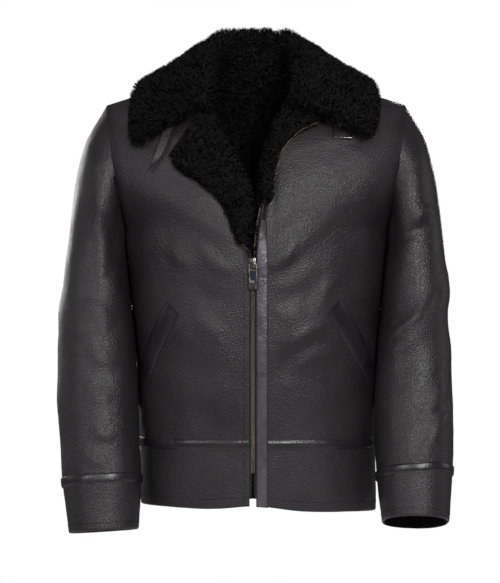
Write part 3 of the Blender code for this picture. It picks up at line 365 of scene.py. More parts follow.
LEATHER_LOOK = {
    "colours": ((0.0165, 0.0132, 0.0155), (0.0250, 0.0200, 0.0235)),
    "patch": 14.0, "roughness": (0.38, 0.50), "specular": 0.55,
    "grain": 520.0, "grain_depth": 0.0007, "crease": 70.0, "crease_depth": 0.0005,
}
TAPE_LOOK = {
    "colours": ((0.0105, 0.0080, 0.0100), (0.0180, 0.0142, 0.0175)),
    "patch": 30.0, "roughness": (0.28, 0.38), "specular": 0.85,
    "grain": 900.0, "grain_depth": 0.00015, "crease": 60.0, "crease_depth": 0.0009,
}
# The zip facing is glossy leather whose colours are several times lighter than the other leather: a painted highlight
# along the strip.
FACING_LOOK_WITH_PAINTED_HIGHLIGHT = {
    "colours": ((0.048, 0.040, 0.048), (0.100, 0.086, 0.100)),
    "patch": 60.0, "roughness": (0.30, 0.42), "specular": 0.9,
    "grain": 300.0, "grain_depth": 0.0003, "crease": 90.0, "crease_depth": 0.0016,
}
FLEECE_LOOK = {
    "colours": ((0.006, 0.0055, 0.0065), (0.020, 0.0180, 0.0200)),
    "patch": 45.0, "curl": 170.0, "curl_depth": 0.004, "fuzz": 900.0,
}
# Fur colours run from a painted shade at the root to a painted highlight at the tip.
HAIR_LOOK = {
    "shaded_root_to_highlit_tip": ((0.009, 0.0082, 0.0090), (0.036, 0.032, 0.035)),
    "patch": 26.0, "tones": (0.45, 1.25), "roughness": 0.75, "specular": 0.25,
}
BRASS = ((0.34, 0.29, 0.23), (0.60, 0.53, 0.44))
NICKEL = ((0.20, 0.19, 0.175), (0.36, 0.34, 0.315))

# Camera, light and stage
CAMERA = {"at": (-0.00936, -3.05, -0.336), "lens": 118.8, "sensor": 36.0}
FLOOR = {"z": -0.95, "radius": 1.0, "corners": 96}
LAMPS = (
    ("key", (0.8, -3.2, 0.7), 0.8, 54.0),
    ("fill", (-1.8, -2.8, 0.5), 0.8, 20.0),
    ("back", (0.7, 3.2, 0.4), 1.0, 45.0),
    ("back_fill", (-1.9, 2.7, 0.3), 1.0, 22.0),
    ("right_side", (3.2, 0.5, 0.3), 1.6, 9.0),
    ("left_side", (-3.2, 0.5, 0.3), 1.6, 8.0),
    ("top", (0.0, -0.4, 2.4), 1.2, 12.0),
)
LAMP_COLUMNS = ("name", "at", "size", "power")
SKY_SEEN = 1.0
SKY_LIGHT = 0.07

# Fur's solid bed, and the columns across narrow strips
FUR_SINK = 0.006
COLLAR_OVERHANG = 0.005
PULL_COLUMNS = ("x", "z", "radius", "dx", "dz")
COLLAR_PULLS = (
    (0.191, -0.112, 0.030, -0.012, 0.014),
    (0.118, -0.088, 0.022, 0.000, -0.009),
    (-0.183, -0.125, 0.030, 0.004, 0.013),
    (-0.083, 0.082, 0.022, 0.004, -0.010),
    (0.078, 0.082, 0.022, -0.004, -0.010),
    (0.034, 0.086, 0.009, 0.000, -0.006),
)
LAPEL_OVERHANG = 0.005
FUR_LUMP = 0.0030
FUR_SCALE = 40.0
WELT_ACROSS = (0.0, 0.06, 0.25, 0.5, 0.75, 0.94, 1.0)
STRAP_ACROSS = (-0.5, -0.42, -0.2, 0.0, 0.2, 0.42, 0.5)



def smooth_between(keys, rows, at):
    """Rows read at any key, by cubics that pass through every row."""
    keys = np.asarray(keys, float)
    rows = np.asarray(rows, float)
    slopes = np.gradient(rows, keys, axis=0)
    i = int(np.clip(np.searchsorted(keys, at, side="right") - 1, 0, len(keys) - 2))
    step = keys[i + 1] - keys[i]
    t = (at - keys[i]) / step
    return (
        (2 * t**3 - 3 * t**2 + 1) * rows[i]
        + (t**3 - 2 * t**2 + t) * step * slopes[i]
        + (3 * t**2 - 2 * t**3) * rows[i + 1]
        + (t**3 - t**2) * step * slopes[i + 1]
    )


def table(columns, rows, key):
    """A short table as its key column and the rest, ready to be read by name."""
    data = np.array(rows, float)
    k = columns.index(key)
    others = [c for c in columns if c != key]
    values = np.delete(data, k, axis=1)

    def read(at):
        return dict(zip(others, smooth_between(data[:, k], values, at)))

    return read


def lengths(curve):
    steps = np.linalg.norm(np.diff(curve, axis=0), axis=1)
    return np.concatenate([[0.0], np.cumsum(steps)])


def spaced(curve, fractions):
    """Points of a curve at these shares of its length."""
    at = lengths(curve)
    wanted = np.asarray(fractions) * at[-1]
    return np.stack([np.interp(wanted, at, curve[:, i]) for i in range(3)], axis=1)


def bezier(points, t):
    """Points of a Bezier curve of any degree at the shares t."""
    points = np.asarray(points, float)
    t = np.asarray(t, float)[:, None]
    n = len(points) - 1
    return sum(math.comb(n, i) * (1 - t) ** (n - i) * t**i * points[i] for i in range(n + 1))


def unit(vectors):
    size = np.linalg.norm(vectors, axis=-1, keepdims=True)
    return vectors / np.maximum(size, 1e-9)


def armhole_point(angle, face):
    """A point of the armhole seam: angle 0 at the armpit, 180 at the shoulder; face -1 front, 1 back."""
    a = math.radians(angle)
    return np.array(
        [
            ARMHOLE["x"] - ARMHOLE["x_swing"] * math.cos(a),
            ARMHOLE["y"] + face * ARMHOLE["half_depth"] * math.sin(a),
            ARMHOLE["z"] - ARMHOLE["half_height"] * math.cos(a),
        ]
    )


def angle_of(v):
    return 180.0 * (v - ARMPIT_Z) / UPPER_SPAN


def v_of(angle):
    return ARMPIT_Z + UPPER_SPAN * angle / 180.0


def outer_edge(v, face):
    """The side seam up to the armpit, then the armhole seam."""
    if v > ARMPIT_Z:
        return armhole_point(angle_of(v), face)
    row = table(BODY_COLUMNS, BODY_SECTIONS, "z")(v)
    return np.array([row["half_width"], row["side_y"], v])


def half_row(edge, middle_y, middle_z, squareness, fullness):
    """Half a section of the body, from the middle to its outer edge."""
    u = np.sin(np.linspace(0, math.pi / 2, 60))
    y = edge[1] + (middle_y - edge[1]) * (1 - u**squareness) ** fullness
    z = middle_z + (edge[2] - middle_z) * u**2
    return np.stack([edge[0] * u, y, z], axis=1)


def control_rows(face):
    """The sections that shape one half of the front (face -1) or back (face 1), each with its v."""
    name = "front" if face < 0 else "back"
    rows = []
    for values in BODY_SECTIONS:
        row = dict(zip(BODY_COLUMNS, values))
        v = row["z"]
        edge = outer_edge(v, face)
        rows.append((v, half_row(edge, row[name + "_y"], v, BODY_SQUARENESS, 1 / BODY_SQUARENESS)))
    for values in UPPER_SECTIONS:
        row = dict(zip(UPPER_COLUMNS, values))
        edge = armhole_point(row["angle"], face)
        curve = half_row(edge, row[name + "_y"], row[name + "_z"], UPPER_SQUARENESS, row[name + "_full"])
        rows.append((v_of(row["angle"]), curve))
    return rows


def shoulder_seam():
    tip = armhole_point(180.0, 1)
    middle = (np.array(NECK_POINT) + tip) / 2 + (0.0, 0.0, SHOULDER_RISE)
    return bezier([NECK_POINT, middle, tip], np.linspace(0, 1, 12))


def front_neckline(neck_end):
    x, y, z = neck_end
    middle = (0.0, y - 0.012, z - 0.035)
    start = bezier([middle, (0.6 * x, y - 0.010, z - 0.022), neck_end], np.linspace(0, 1, 12))
    bend = (NECK_POINT[0] + 0.004, -0.040, -0.012)
    return start, bezier([neck_end, bend, NECK_POINT], np.linspace(0, 1, 24))


def back_neckline():
    handles = [(0.045, 0.087, -0.019), (0.088, 0.052, -0.008)]
    return bezier([BACK_NECK, *handles, NECK_POINT], np.linspace(0, 1, 24))


def cut_from(curve, x):
    """The part of a half section outwards of x."""
    i = int(np.searchsorted(curve[:, 0], x))
    start = np.array([np.interp(x, curve[:, 0], curve[:, k]) for k in range(3)])
    return np.vstack([start, curve[i:][curve[i:, 0] > x + 1e-6]])


def split_fractions(share):
    """Shares of a row's length: neck columns up to the share, then shoulder columns."""
    inner = np.linspace(0, share, NECK_COLUMNS + 1)
    outer = np.linspace(share, 1, SHOULDER_COLUMNS + 1)
    return np.concatenate([inner, outer[1:]])


def panel_levels():
    """v of each row of a body panel, from the band seam to the shoulder."""
    lower = [BAND_SEAM_Z, BAND_SEAM_Z + BAND_TAPE_HALF, *LOWER_LEVELS]
    upper = v_of(np.linspace(0, 180, UPPER_ROWS + 1))
    return np.concatenate([lower, upper])


def band_levels():
    """v of each row of a hem band, from the hem to the band seam."""
    return np.array([HEM_Z, HEM_Z + 0.013, -0.622, BAND_SEAM_Z - BAND_TAPE_HALF, BAND_SEAM_Z])


def fold_reader(front):
    """Fold column, free edge, lift and fold share of a front at any v."""
    below_fold = front["zip_x"] + front["edge_gap"] + front["edge_band"]
    below_edge = front["zip_x"] + front["edge_gap"]
    levels = (-0.70, -0.50, -0.35, ZIP_SPLIT_Z - 0.006, ZIP_SPLIT_Z)
    flat = [(v, below_fold, below_edge, v, 0.0, 0.0) for v in levels]
    return table(FOLD_COLUMNS, flat + list(front["folds"]), "v")


def top_row(face, front=None):
    """The neckline and shoulder seam, and the share of its length that is neckline."""
    if face > 0:
        neck = back_neckline()
    else:
        neck = front_neckline(front["neck_end"])[1]
    curve = np.vstack([neck, shoulder_seam()[1:]])
    at = lengths(curve)
    return curve, at[len(neck) - 1] / at[-1]


def half_panel(face, levels, front=None):
    """The leather surface of half the body, rows by v and columns from the middle or the fold outwards."""
    folds = fold_reader(front) if front else None
    keys, rows = [], []
    for v, curve in control_rows(face):
        start = folds(v)["fold_x"] if front else 0.0
        keys.append(v)
        rows.append(spaced(cut_from(curve, start), split_fractions(NECK_SHARE)))
    curve, share = top_row(face, front)
    keys.append(TOP_V)
    rows.append(spaced(curve, split_fractions(share)))
    # A row past the shoulder seam, so that the surface rolls over it to the other face.
    other = control_rows(-face)[-1][1]
    beyond = spaced(cut_from(other, 0.02), split_fractions(NECK_SHARE))
    ghost = 2 * rows[-1] - rows[-2]
    ghost[NECK_COLUMNS:] = beyond[NECK_COLUMNS:]
    keys.append(2 * TOP_V - keys[-2])
    rows.append(ghost)
    shares = split_fractions(NECK_SHARE)[:, None]
    grid = []
    for v in levels:
        row = smooth_between(keys, rows, v)
        if v < TOP_V:
            row = row + shares**3 * (outer_edge(v, face) - row[-1])
        grid.append(row)
    return np.array(grid)


def chest_depth(front):
    """Reads the depth of the whole chest at any x and z, also inwards of the fold."""
    keys, rows = [], []
    for v, curve in control_rows(-1):
        keys.append(v)
        rows.append(spaced(curve, np.linspace(0, 1, 40)))
    start, neck = front_neckline(front["neck_end"])
    whole = np.vstack([start, neck[1:], shoulder_seam()[1:]])
    keys.append(TOP_V)
    rows.append(spaced(whole, np.linspace(0, 1, 40)))
    fine = [smooth_between(keys, rows, v) for v in np.linspace(keys[0], TOP_V, 120)]

    def read(x, z):
        zs = [np.interp(abs(x), row[:, 0], row[:, 2]) for row in fine]
        ys = [np.interp(abs(x), row[:, 0], row[:, 1]) for row in fine]
        return float(np.interp(z, zs, ys))

    return read


def front_edge_zone(front, levels, panel):
    """The strip of each row from the fold to the free edge: flat below the slider, turned back above."""
    folds = fold_reader(front)
    depth = chest_depth(front)
    columns = front["edge_columns"]
    zone = []
    for v, row in zip(levels, panel):
        at = folds(min(v, TOP_V))
        base = row[0]
        folded = float(np.clip(at["folded"], 0, 1))
        edge_z = base[2] if folded < 0.01 else at["edge_z"]
        width = math.hypot(base[0] - at["edge_x"], base[2] - edge_z)
        bulge = ROLL_BULGE * min(1.0, folded * 1.5)
        lift = max(at["lift"], 0.0)
        # In each triple: x, z and the lift off the chest.
        flat_1 = np.array([base[0] - width / 3, base[2], 0.0])
        flat_2 = np.array([base[0] - 2 * width / 3, base[2], 0.0])
        roll_1 = np.array([base[0] - bulge, base[2], 0.0])
        roll_2 = np.array([base[0] - bulge, base[2], 1.1 * lift + 0.002])
        ends = [np.array([base[0], base[2], 0.0]), np.array([at["edge_x"], edge_z, lift])]
        handles = [flat_1 + folded * (roll_1 - flat_1), flat_2 + folded * (roll_2 - flat_2)]
        path = bezier([ends[0], *handles, ends[1]], np.linspace(0, 1, 30))
        here = depth(base[0], base[2])
        points = np.array([[x, depth(x, z) - here + base[1] - up, z] for x, z, up in path])
        zone.append(spaced(points, np.linspace(0, 1, columns + 1)))
    return np.array(zone)[:, ::-1]


def shift_hem(grid):
    """Lets the hem follow its real line: a little higher at the zip and lower on the wearer's left."""
    top = BAND_SEAM_Z - BAND_TAPE_HALF
    share = np.clip((top - grid[..., 2]) / (top - HEM_Z), 0, 1)
    front = np.clip(-grid[..., 1] / 0.08, 0, 1)
    x = grid[..., 0]
    grid[..., 2] += share * (-0.028 * x + 0.007 * front * np.exp(-((x / 0.05) ** 2)) - 0.004 * (1 - front))
    return grid


def mirrored(grid, side):
    """A half worked out at +X, placed on its own side."""
    placed = grid.copy()
    placed[..., 0] *= side
    return placed


def front_surfaces(front):
    """(hem band, panel) of one front, columns from the free edge to the side seam or armhole."""
    made = []
    for levels in (band_levels(), panel_levels()):
        panel = half_panel(-1, levels, front)
        zone = front_edge_zone(front, levels, panel)
        made.append(mirrored(np.concatenate([zone[:, :-1], panel], axis=1), front["side"]))
    return shift_hem(made[0]), made[1]


def back_surfaces():
    """(hem band, panel) of the back, columns from -X to +X."""
    made = []
    for levels in (band_levels(), panel_levels()):
        half = half_panel(1, levels)
        made.append(np.concatenate([mirrored(half, -1)[:, :0:-1], half], axis=1))
    return shift_hem(made[0]), made[1]


def armhole_loop():
    """The armhole seam as the panels have it: from the armpit up the front and down the back."""
    angles = np.linspace(0, 180, UPPER_ROWS + 1)
    front = [armhole_point(a, -1) for a in angles]
    back = [armhole_point(a, 1) for a in angles[1:-1]]
    return np.array(front + back[::-1])


def sleeve_ring(values, count):
    """An oval ring of the sleeve, from its inner point round the front."""
    row = dict(zip(SLEEVE_COLUMNS, values))
    inner = np.array([row["x_in"], row["y"], row["z_in"]])
    outer = np.array([row["x_out"], row["y"], row["z_out"]])
    tilt = math.radians(row["tilt"])
    across = (outer - inner) / 2
    along = row["half_depth"] * np.array([0.0, math.cos(tilt), -math.sin(tilt)])
    a = 2 * math.pi * np.arange(count) / count
    full = 2.25
    c = np.sign(np.cos(a)) * np.abs(np.cos(a)) ** (2 / full)
    s = np.sign(np.sin(a)) * np.abs(np.sin(a)) ** (2 / full)
    return (inner + outer) / 2 - np.outer(c, across) - np.outer(s, along)


def sleeve_surface(rows, side, wanted):
    """Rings of a sleeve at these numbers: 0 is the armhole seam and each row of the table is the next."""
    loop = armhole_loop()
    rings = [loop] + [sleeve_ring(values, len(loop)) for values in rows]
    keys = np.arange(len(rings))
    return mirrored(np.array([smooth_between(keys, rings, w) for w in wanted]), side)


def sleeve_levels():
    inner = np.array([0.0, 0.25, 0.6, 1.0, 1.5, 2.0, 2.5])
    outer = np.linspace(3.0, CUFF_SEAM_RING - CUFF_TAPE_HALF, SLEEVE_ROWS - len(inner))
    return np.concatenate([inner, outer, [CUFF_SEAM_RING]])


def cuff_levels():
    first = [CUFF_SEAM_RING, CUFF_SEAM_RING + CUFF_TAPE_HALF]
    return np.array(first + list(np.linspace(first[1], CUFF_END_RING, CUFF_ROWS)[1:]))


def neckline_points(fronts, back):
    """The neckline from the wearer's right front, round the back, to the left front."""
    right, left = fronts
    start_r = WEARERS_RIGHT["edge_columns"]
    start_l = WEARERS_LEFT["edge_columns"]
    middle = back[-1, SHOULDER_COLUMNS:-SHOULDER_COLUMNS]
    first = right[-1, start_r : start_r + NECK_COLUMNS]
    last = left[-1, start_l : start_l + NECK_COLUMNS][::-1]
    line = np.vstack([first, middle, last])
    # The collar stops a little short of where each front turns back.
    line[0] += COLLAR_SHORT * unit(line[1] - line[0])
    line[-1] += COLLAR_SHORT * unit(line[-2] - line[-1])
    return line


def collar_surface(neckline):
    """The collar's leather side: up the stand, over the roll and down to the free edge."""
    at = lengths(neckline)
    places = 2 * at / at[-1] - 1
    read = table(COLLAR_COLUMNS, COLLAR_STATIONS, "a")
    shares = np.linspace(0, 1, COLLAR_PROFILE + 1)
    columns = []
    for a, root in zip(places, neckline):
        row = read(a)
        roll = np.array([row["roll_x"], row["roll_y"], row["roll_z"]])
        edge = np.array([row["edge_x"], row["edge_y"], row["edge_z"]])
        out = unit(np.array([*(edge - roll)[:2], 0.0]))
        down = np.array([0.0, 0.0, -COLLAR_ROLL])
        inside = roll - COLLAR_ROLL * out + down
        outside = roll + COLLAR_ROLL * out + down
        stand = (root + inside) / 2
        fall = edge - outside
        away = unit(np.cross(np.cross(fall, [0.0, 0.0, 1.0]), fall))
        crown = (outside + edge) / 2 + row["crown"] * away
        knots = np.array([root, stand, inside, roll, outside, crown, edge])
        keys = lengths(knots)
        fine = np.array([smooth_between(keys, knots, k) for k in np.linspace(0, keys[-1], 90)])
        columns.append(spaced(fine, shares))
    return np.array(columns).transpose(1, 0, 2)


def add_folds(grid, normals, folds):
    """Moves leather points along their normals by each of the largest folds near them."""
    points = grid.reshape(-1, 3)
    rise = np.zeros(len(points))
    for values in folds:
        row = dict(zip(FOLD_LINE_COLUMNS, values))
        start = np.array([row["x0"], row["y0"], row["z0"]])
        line = np.array([row["x1"], row["y1"], row["z1"]]) - start
        share = np.clip((points - start) @ line / (line @ line), 0, 1)
        away = np.linalg.norm(points - start - share[:, None] * line, axis=1)
        # The line may lie a little off the surface, so only what is past its near zone counts.
        away = np.maximum(away - 0.008, 0)
        along = np.sin(math.pi * (0.12 + 0.76 * share))
        rise += row["height"] * np.exp(-((away / row["width"]) ** 2)) * along
    return grid + rise.reshape(grid.shape[:2])[..., None] * normals


def crease_rise(grid, normals):
    """Height of the smaller creases at each point, as they are seen from the front or the back."""
    points, out = grid.reshape(-1, 3), normals.reshape(-1, 3)
    rise = np.zeros(len(points))
    for values in CREASES:
        row = dict(zip(CREASE_COLUMNS, values))
        start = np.array([row["x0"], row["z0"]])
        line = np.array([row["x1"], row["z1"]]) - start
        size = np.linalg.norm(line)
        at = points[:, [0, 2]] - start
        share = at @ line / size**2
        aside = (at @ np.array([-line[1], line[0]])) / size - row["bow"] * np.sin(math.pi * np.clip(share, 0, 1))
        past = np.maximum(np.abs(share - 0.5) - 0.5, 0) * size
        fade = np.sin(math.pi * np.clip(0.06 + 0.88 * share, 0, 1)) ** 0.7
        facing = np.clip(1.6 * row["face"] * out[:, 1], 0, 1)
        rise += CREASE_SHARE * row["height"] * np.exp(-(aside**2 + past**2) / row["width"] ** 2) * fade * facing
    return rise.reshape(grid.shape[:2])[..., None]


def face_normals(grid, ring):
    """Normals of each cell, and the cell's four corners as flat numbers of points."""
    rows, columns = grid.shape[:2]
    number = np.arange(rows * columns).reshape(rows, columns)
    right = np.roll(number, -1, axis=1)
    if not ring:
        number, right = number[:, :-1], right[:, :-1]
    corners = np.stack([number[:-1], right[:-1], right[1:], number[1:]], axis=-1).reshape(-1, 4)
    p = grid.reshape(-1, 3)[corners]
    return np.cross(p[:, 2] - p[:, 0], p[:, 3] - p[:, 1]), corners


def leather_normals(surfaces):
    """Normals on the leather side of each surface, shared where surfaces meet in a seam."""
    total = {}
    keys = {}
    for name, (grid, facing, ring) in surfaces.items():
        normals, corners = face_normals(grid, ring)
        keys[name] = [tuple(k) for k in np.round(grid.reshape(-1, 3) * 1e5).astype(int)]
        for normal, cell in zip(normals * facing, corners):
            for corner in cell:
                key = keys[name][corner]
                total[key] = total.get(key, 0) + normal
    return {
        name: unit(np.array([total[k] for k in keys[name]])).reshape(grid.shape)
        for name, (grid, facing, ring) in surfaces.items()
    }


def seam_moves(grid, own, shared, edges, ring):
    """How far each point moves so that these edges stop half a seam gap short of the seam."""
    lines = {
        "first_row": (np.s_[0], np.s_[1]),
        "last_row": (np.s_[-1], np.s_[-2]),
        "first_column": (np.s_[:, 0], np.s_[:, 1]),
        "last_column": (np.s_[:, -1], np.s_[:, -2]),
    }
    moves = np.zeros_like(grid)
    for edge in edges:
        line, next_line = lines[edge]
        along = np.gradient(grid[line], axis=0)
        if ring and edge.endswith("row"):
            along = np.roll(grid[line], -1, axis=0) - np.roll(grid[line], 1, axis=0)
        inward = np.cross(along, own[line])
        turned = np.sign(np.sum(inward * (grid[next_line] - grid[line]), axis=1).sum())
        moves[line] += turned * SEAM_GAP / 2 * unit(np.cross(along, shared[line]))
    return moves


def fleece_depth(front, grid):
    """Wall thickness of a front: deeper fleece where it is turned back."""
    folds = fold_reader(front)
    levels = panel_levels()
    depth = np.full(grid.shape[:2], SKIN)
    share = np.array([np.clip(folds(min(v, TOP_V))["folded"], 0, 1) for v in levels])
    turned = np.linspace(1, 0, front["edge_columns"] + 2)
    turned = np.minimum(1, 2.5 * turned)
    depth[:, : front["edge_columns"] + 2] += (LAPEL_FLEECE - SKIN) * share[:, None] * turned
    return depth


def read_grid(grid, row, column):
    """A grid at any fractional row and column."""
    r = int(np.clip(row, 0, grid.shape[0] - 2))
    c = int(np.clip(column, 0, grid.shape[1] - 2))
    s, t = row - r, column - c
    low = grid[r, c] * (1 - t) + grid[r, c + 1] * t
    high = grid[r + 1, c] * (1 - t) + grid[r + 1, c + 1] * t
    return low * (1 - s) + high * s


def finer_lines(points, times, closed):
    """The same curves with this many steps between each two of their points, whatever the spacing."""
    ahead = np.roll(points, -1, axis=0) if closed else np.concatenate([points[1:], 2 * points[-1:] - points[-2:-1]])
    chord = ahead - points
    size = np.maximum(np.linalg.norm(chord, axis=-1, keepdims=True), 1e-7)
    before, size_before = np.roll(chord, 1, axis=0), np.roll(size, 1, axis=0)
    if not closed:
        before[0], size_before[0] = chord[0], size[0]
    slope = (chord / size * size_before + before / size_before * size) / (size + size_before)
    slope_ahead = np.roll(slope, -1, axis=0)
    made = []
    for t in np.arange(times) / times:
        made.append(
            points
            + (3 * t**2 - 2 * t**3) * chord
            + size * ((t - 2 * t**2 + t**3) * slope + (t**3 - t**2) * slope_ahead)
        )
    made = np.stack(made, axis=1).reshape(-1, *points.shape[1:])
    return made if closed else np.concatenate([made[:-times], points[-1:]])


def finer(surface, times):
    grid, facing, ring = surface
    grid = finer_lines(grid, times, False)
    across = finer_lines(grid.transpose(1, 0, 2), times, ring)
    return across.transpose(1, 0, 2), facing, ring


def all_surfaces():
    """The leather side of every panel, fine, with its folds, and shared normals."""
    right_band, right = front_surfaces(WEARERS_RIGHT)
    left_band, left = front_surfaces(WEARERS_LEFT)
    back_band, back = back_surfaces()
    made = {
        "hem_band_right": (right_band, -1, False),
        "front_right": (right, -1, False),
        "hem_band_left": (left_band, 1, False),
        "front_left": (left, 1, False),
        "hem_band_back": (back_band, -1, False),
        "back": (back, -1, False),
        "collar": (collar_surface(neckline_points((right, left), back)), -1, False),
    }
    for name, rows, side in (("right", SLEEVE_RIGHT, -1), ("left", SLEEVE_LEFT, 1)):
        made["sleeve_" + name] = (sleeve_surface(rows, side, sleeve_levels()), -side, True)
        made["cuff_" + name] = (sleeve_surface(rows, side, cuff_levels()), -side, True)
    made = {name: finer(surface, STEPS) for name, surface in made.items()}
    for name, (grid, facing, ring) in made.items():
        if name != "collar":
            made[name] = (lean_together(grid, ring), facing, ring)
    normals = leather_normals(made)
    for name, (grid, facing, ring) in list(made.items()):
        if name != "collar":
            rise = crease_rise(grid, normals[name]) + hand_of_leather(grid)
            if not name.startswith("hem_band"):
                grid = add_folds(grid, normals[name], LARGEST_FOLDS)
            made[name] = (grid + rise * normals[name], facing, ring)
    return made, leather_normals(made)


def lean_together(grid, of_sleeve):
    """The soft sides of the body and the insides of the sleeves lean on each other, as the cloth hangs."""
    x, z = grid[..., 0], grid[..., 2]
    left, right = (np.interp(z, LEAN["z"], LEAN[side]) for side in ("right_arm", "left_arm"))
    amount = np.where(x < 0, left, right)
    if of_sleeve:
        share = -np.clip((SLEEVE_LEAN_X - np.abs(x)) / LEAN_FADE, 0, 1)
    else:
        share = np.clip((np.abs(x) - BODY_LEAN_X) / LEAN_FADE, 0, 1)
    share = share * np.abs(share) * (3 - 2 * np.abs(share))
    leant = grid.copy()
    leant[..., 0] += np.sign(x) * amount * share
    return leant


def hand_of_leather(grid):
    """The soft unevenness of the skin, in metres along the normals."""
    heights = [
        HAND_HEIGHT * noise.noise(Vector(p) * HAND_SCALE) + FINE_HEIGHT * noise.noise(Vector(p) * FINE_SCALE)
        for p in grid.reshape(-1, 3)
    ]
    return np.array(heights).reshape(grid.shape[:2])[..., None]


def curls(grid, height, scale):
    """Rounded lumps of fleece, in metres."""
    heights = []
    for p in grid.reshape(-1, 3):
        near = noise.voronoi(Vector(p) * scale)[0]
        heights.append(height * (0.7 - min(1.0, near[0] * 1.4)))
    return np.array(heights).reshape(grid.shape[:2])


def wall_faces(rows, columns, ring):
    """Faces of a closed wall between two grids of the same size, and the side that each is on."""
    number = np.arange(rows * columns).reshape(rows, columns)
    right = np.roll(number, -1, axis=1)
    if not ring:
        number, right = number[:, :-1], right[:, :-1]
    offset = rows * columns
    outer = np.stack([number[:-1], right[:-1], right[1:], number[1:]], axis=-1).reshape(-1, 4)
    inner = outer[:, ::-1] + offset
    rims = []
    for line, turned in ((0, True), (-1, False)):
        a, b = number[line], right[line]
        face = np.stack([a, b, b + offset, a + offset], axis=-1)
        rims.append(face[:, ::-1] if turned else face)
    if not ring:
        whole = np.arange(rows * columns).reshape(rows, columns)
        for line, turned in ((0, False), (-1, True)):
            a, b = whole[:-1, line], whole[1:, line]
            face = np.stack([a, b, b + offset, a + offset], axis=-1)
            rims.append(face[:, ::-1] if turned else face)
    rims = np.concatenate(rims)
    sides = np.repeat([0, 1, 2], [len(outer), len(inner), len(rims)])
    return np.concatenate([outer, inner, rims]), sides


def mesh_object(name, points, faces, materials, slots=None, smooth=True):
    mesh = bpy.data.meshes.new(name)
    mesh.from_pydata(np.asarray(points).tolist(), [], np.asarray(faces).tolist())
    for each in materials:
        mesh.materials.append(each)
    if slots is not None:
        mesh.polygons.foreach_set("material_index", np.asarray(slots, np.int32))
    if smooth:
        mesh.shade_smooth()
    made = bpy.data.objects.new(name, mesh)
    bpy.context.scene.collection.objects.link(made)
    return made


def face_out(made):
    """Turns the faces of a closed piece outwards and keeps its rims crisp."""
    work = bmesh.new()
    work.from_mesh(made.data)
    bmesh.ops.recalc_face_normals(work, faces=work.faces)
    work.to_mesh(made.data)
    work.free()
    made.data.set_sharp_from_angle(angle=math.radians(SHARP_ANGLE))


def cloth(name, outer, inner, ring, skins, node=None):
    """A closed wall of cloth that stands for its solid, declared with the size that it is cut to."""
    rows, columns = outer.shape[:2]
    faces, sides = wall_faces(rows, columns, ring)
    points = np.concatenate([outer.reshape(-1, 3), inner.reshape(-1, 3)])
    made = mesh_object(name, points, faces, skins, np.minimum(sides, len(skins) - 1))
    face_out(made)
    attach(made, "jacket")
    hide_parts(node or name.replace("_shell", ""))
    crosses, corners = face_normals(outer, ring)
    area = float(np.linalg.norm(crosses, axis=1).sum() / 2)
    loop = np.concatenate([outer, outer[:, :1]], axis=1) if ring else outer
    across = float(np.linalg.norm(np.diff(loop, axis=1), axis=-1).sum(axis=1).max())
    down = float(np.linalg.norm(np.diff(outer, axis=0), axis=-1).sum(axis=0).max())
    across = max(across, area / down)
    made["cut_width"], made["cut_length"], made["cut_area"] = across, down, area
    return made


def rounded(outer, inner, rows_from_edge, radius):
    """Draws the last stretch of a wall together, so that its edge is turned and not cut square."""
    outer, inner = outer.copy(), inner.copy()
    for row, distance in rows_from_edge:
        share = min(1.0, distance / radius)
        pull = (1 - math.sqrt(1 - (1 - share) ** 2)) / 2
        difference = inner[row] - outer[row]
        outer[row] += pull * difference
        inner[row] -= pull * difference
    return outer, inner


def edge_rows(grid, normals, first, distances):
    """Adds rows close to the first or last row, at these distances from it."""
    if not first:
        grid, normals = grid[::-1], normals[::-1]
    step = np.linalg.norm(grid[1] - grid[0], axis=-1, keepdims=True)
    added = [grid[0] + (grid[1] - grid[0]) * d / step for d in distances]
    added_normals = [unit(normals[0] + (normals[1] - normals[0]) * d / step) for d in distances]
    grid = np.concatenate([grid[:1], added, grid[1:]])
    normals = np.concatenate([normals[:1], added_normals, normals[1:]])
    return (grid, normals) if first else (grid[::-1], normals[::-1])


def panel_wall(name, surfaces, normals, depth, edges, skins):
    """The wall of one panel: leather outside, fleece inside, short of its seams."""
    grid, facing, ring = surfaces[name]
    out = normals[name]
    own = leather_normals({name: surfaces[name]})[name]
    grid = grid + seam_moves(grid, own, out, edges, ring)
    turned = None
    if name.startswith("hem_band"):
        grid, out = edge_rows(grid, out, True, EDGE_ROWS)
        turned = [(i, d) for i, d in enumerate((0.0, *EDGE_ROWS))]
    if name.startswith("cuff"):
        grid, out = edge_rows(grid, out, False, EDGE_ROWS)
        turned = [(-1 - i, d) for i, d in enumerate((0.0, *EDGE_ROWS))]
    depth = np.broadcast_to(np.asarray(depth, float), surfaces[name][0].shape[:2])
    if turned is not None:
        extra = np.full((len(EDGE_ROWS), depth.shape[1]), SKIN)
        depth = np.concatenate([extra, depth])
    lumps = 0.0 if turned is not None else curls(grid, FLEECE_LUMP, FLEECE_SCALE)
    fleece = grid - (depth + lumps - FLEECE_LUMP / 2)[..., None] * out
    outer, inner = grid, fleece
    if turned is not None:
        outer, inner = rounded(outer, inner, turned, SKIN / 2)
    return cloth(name + "_shell", outer, inner, ring, skins)


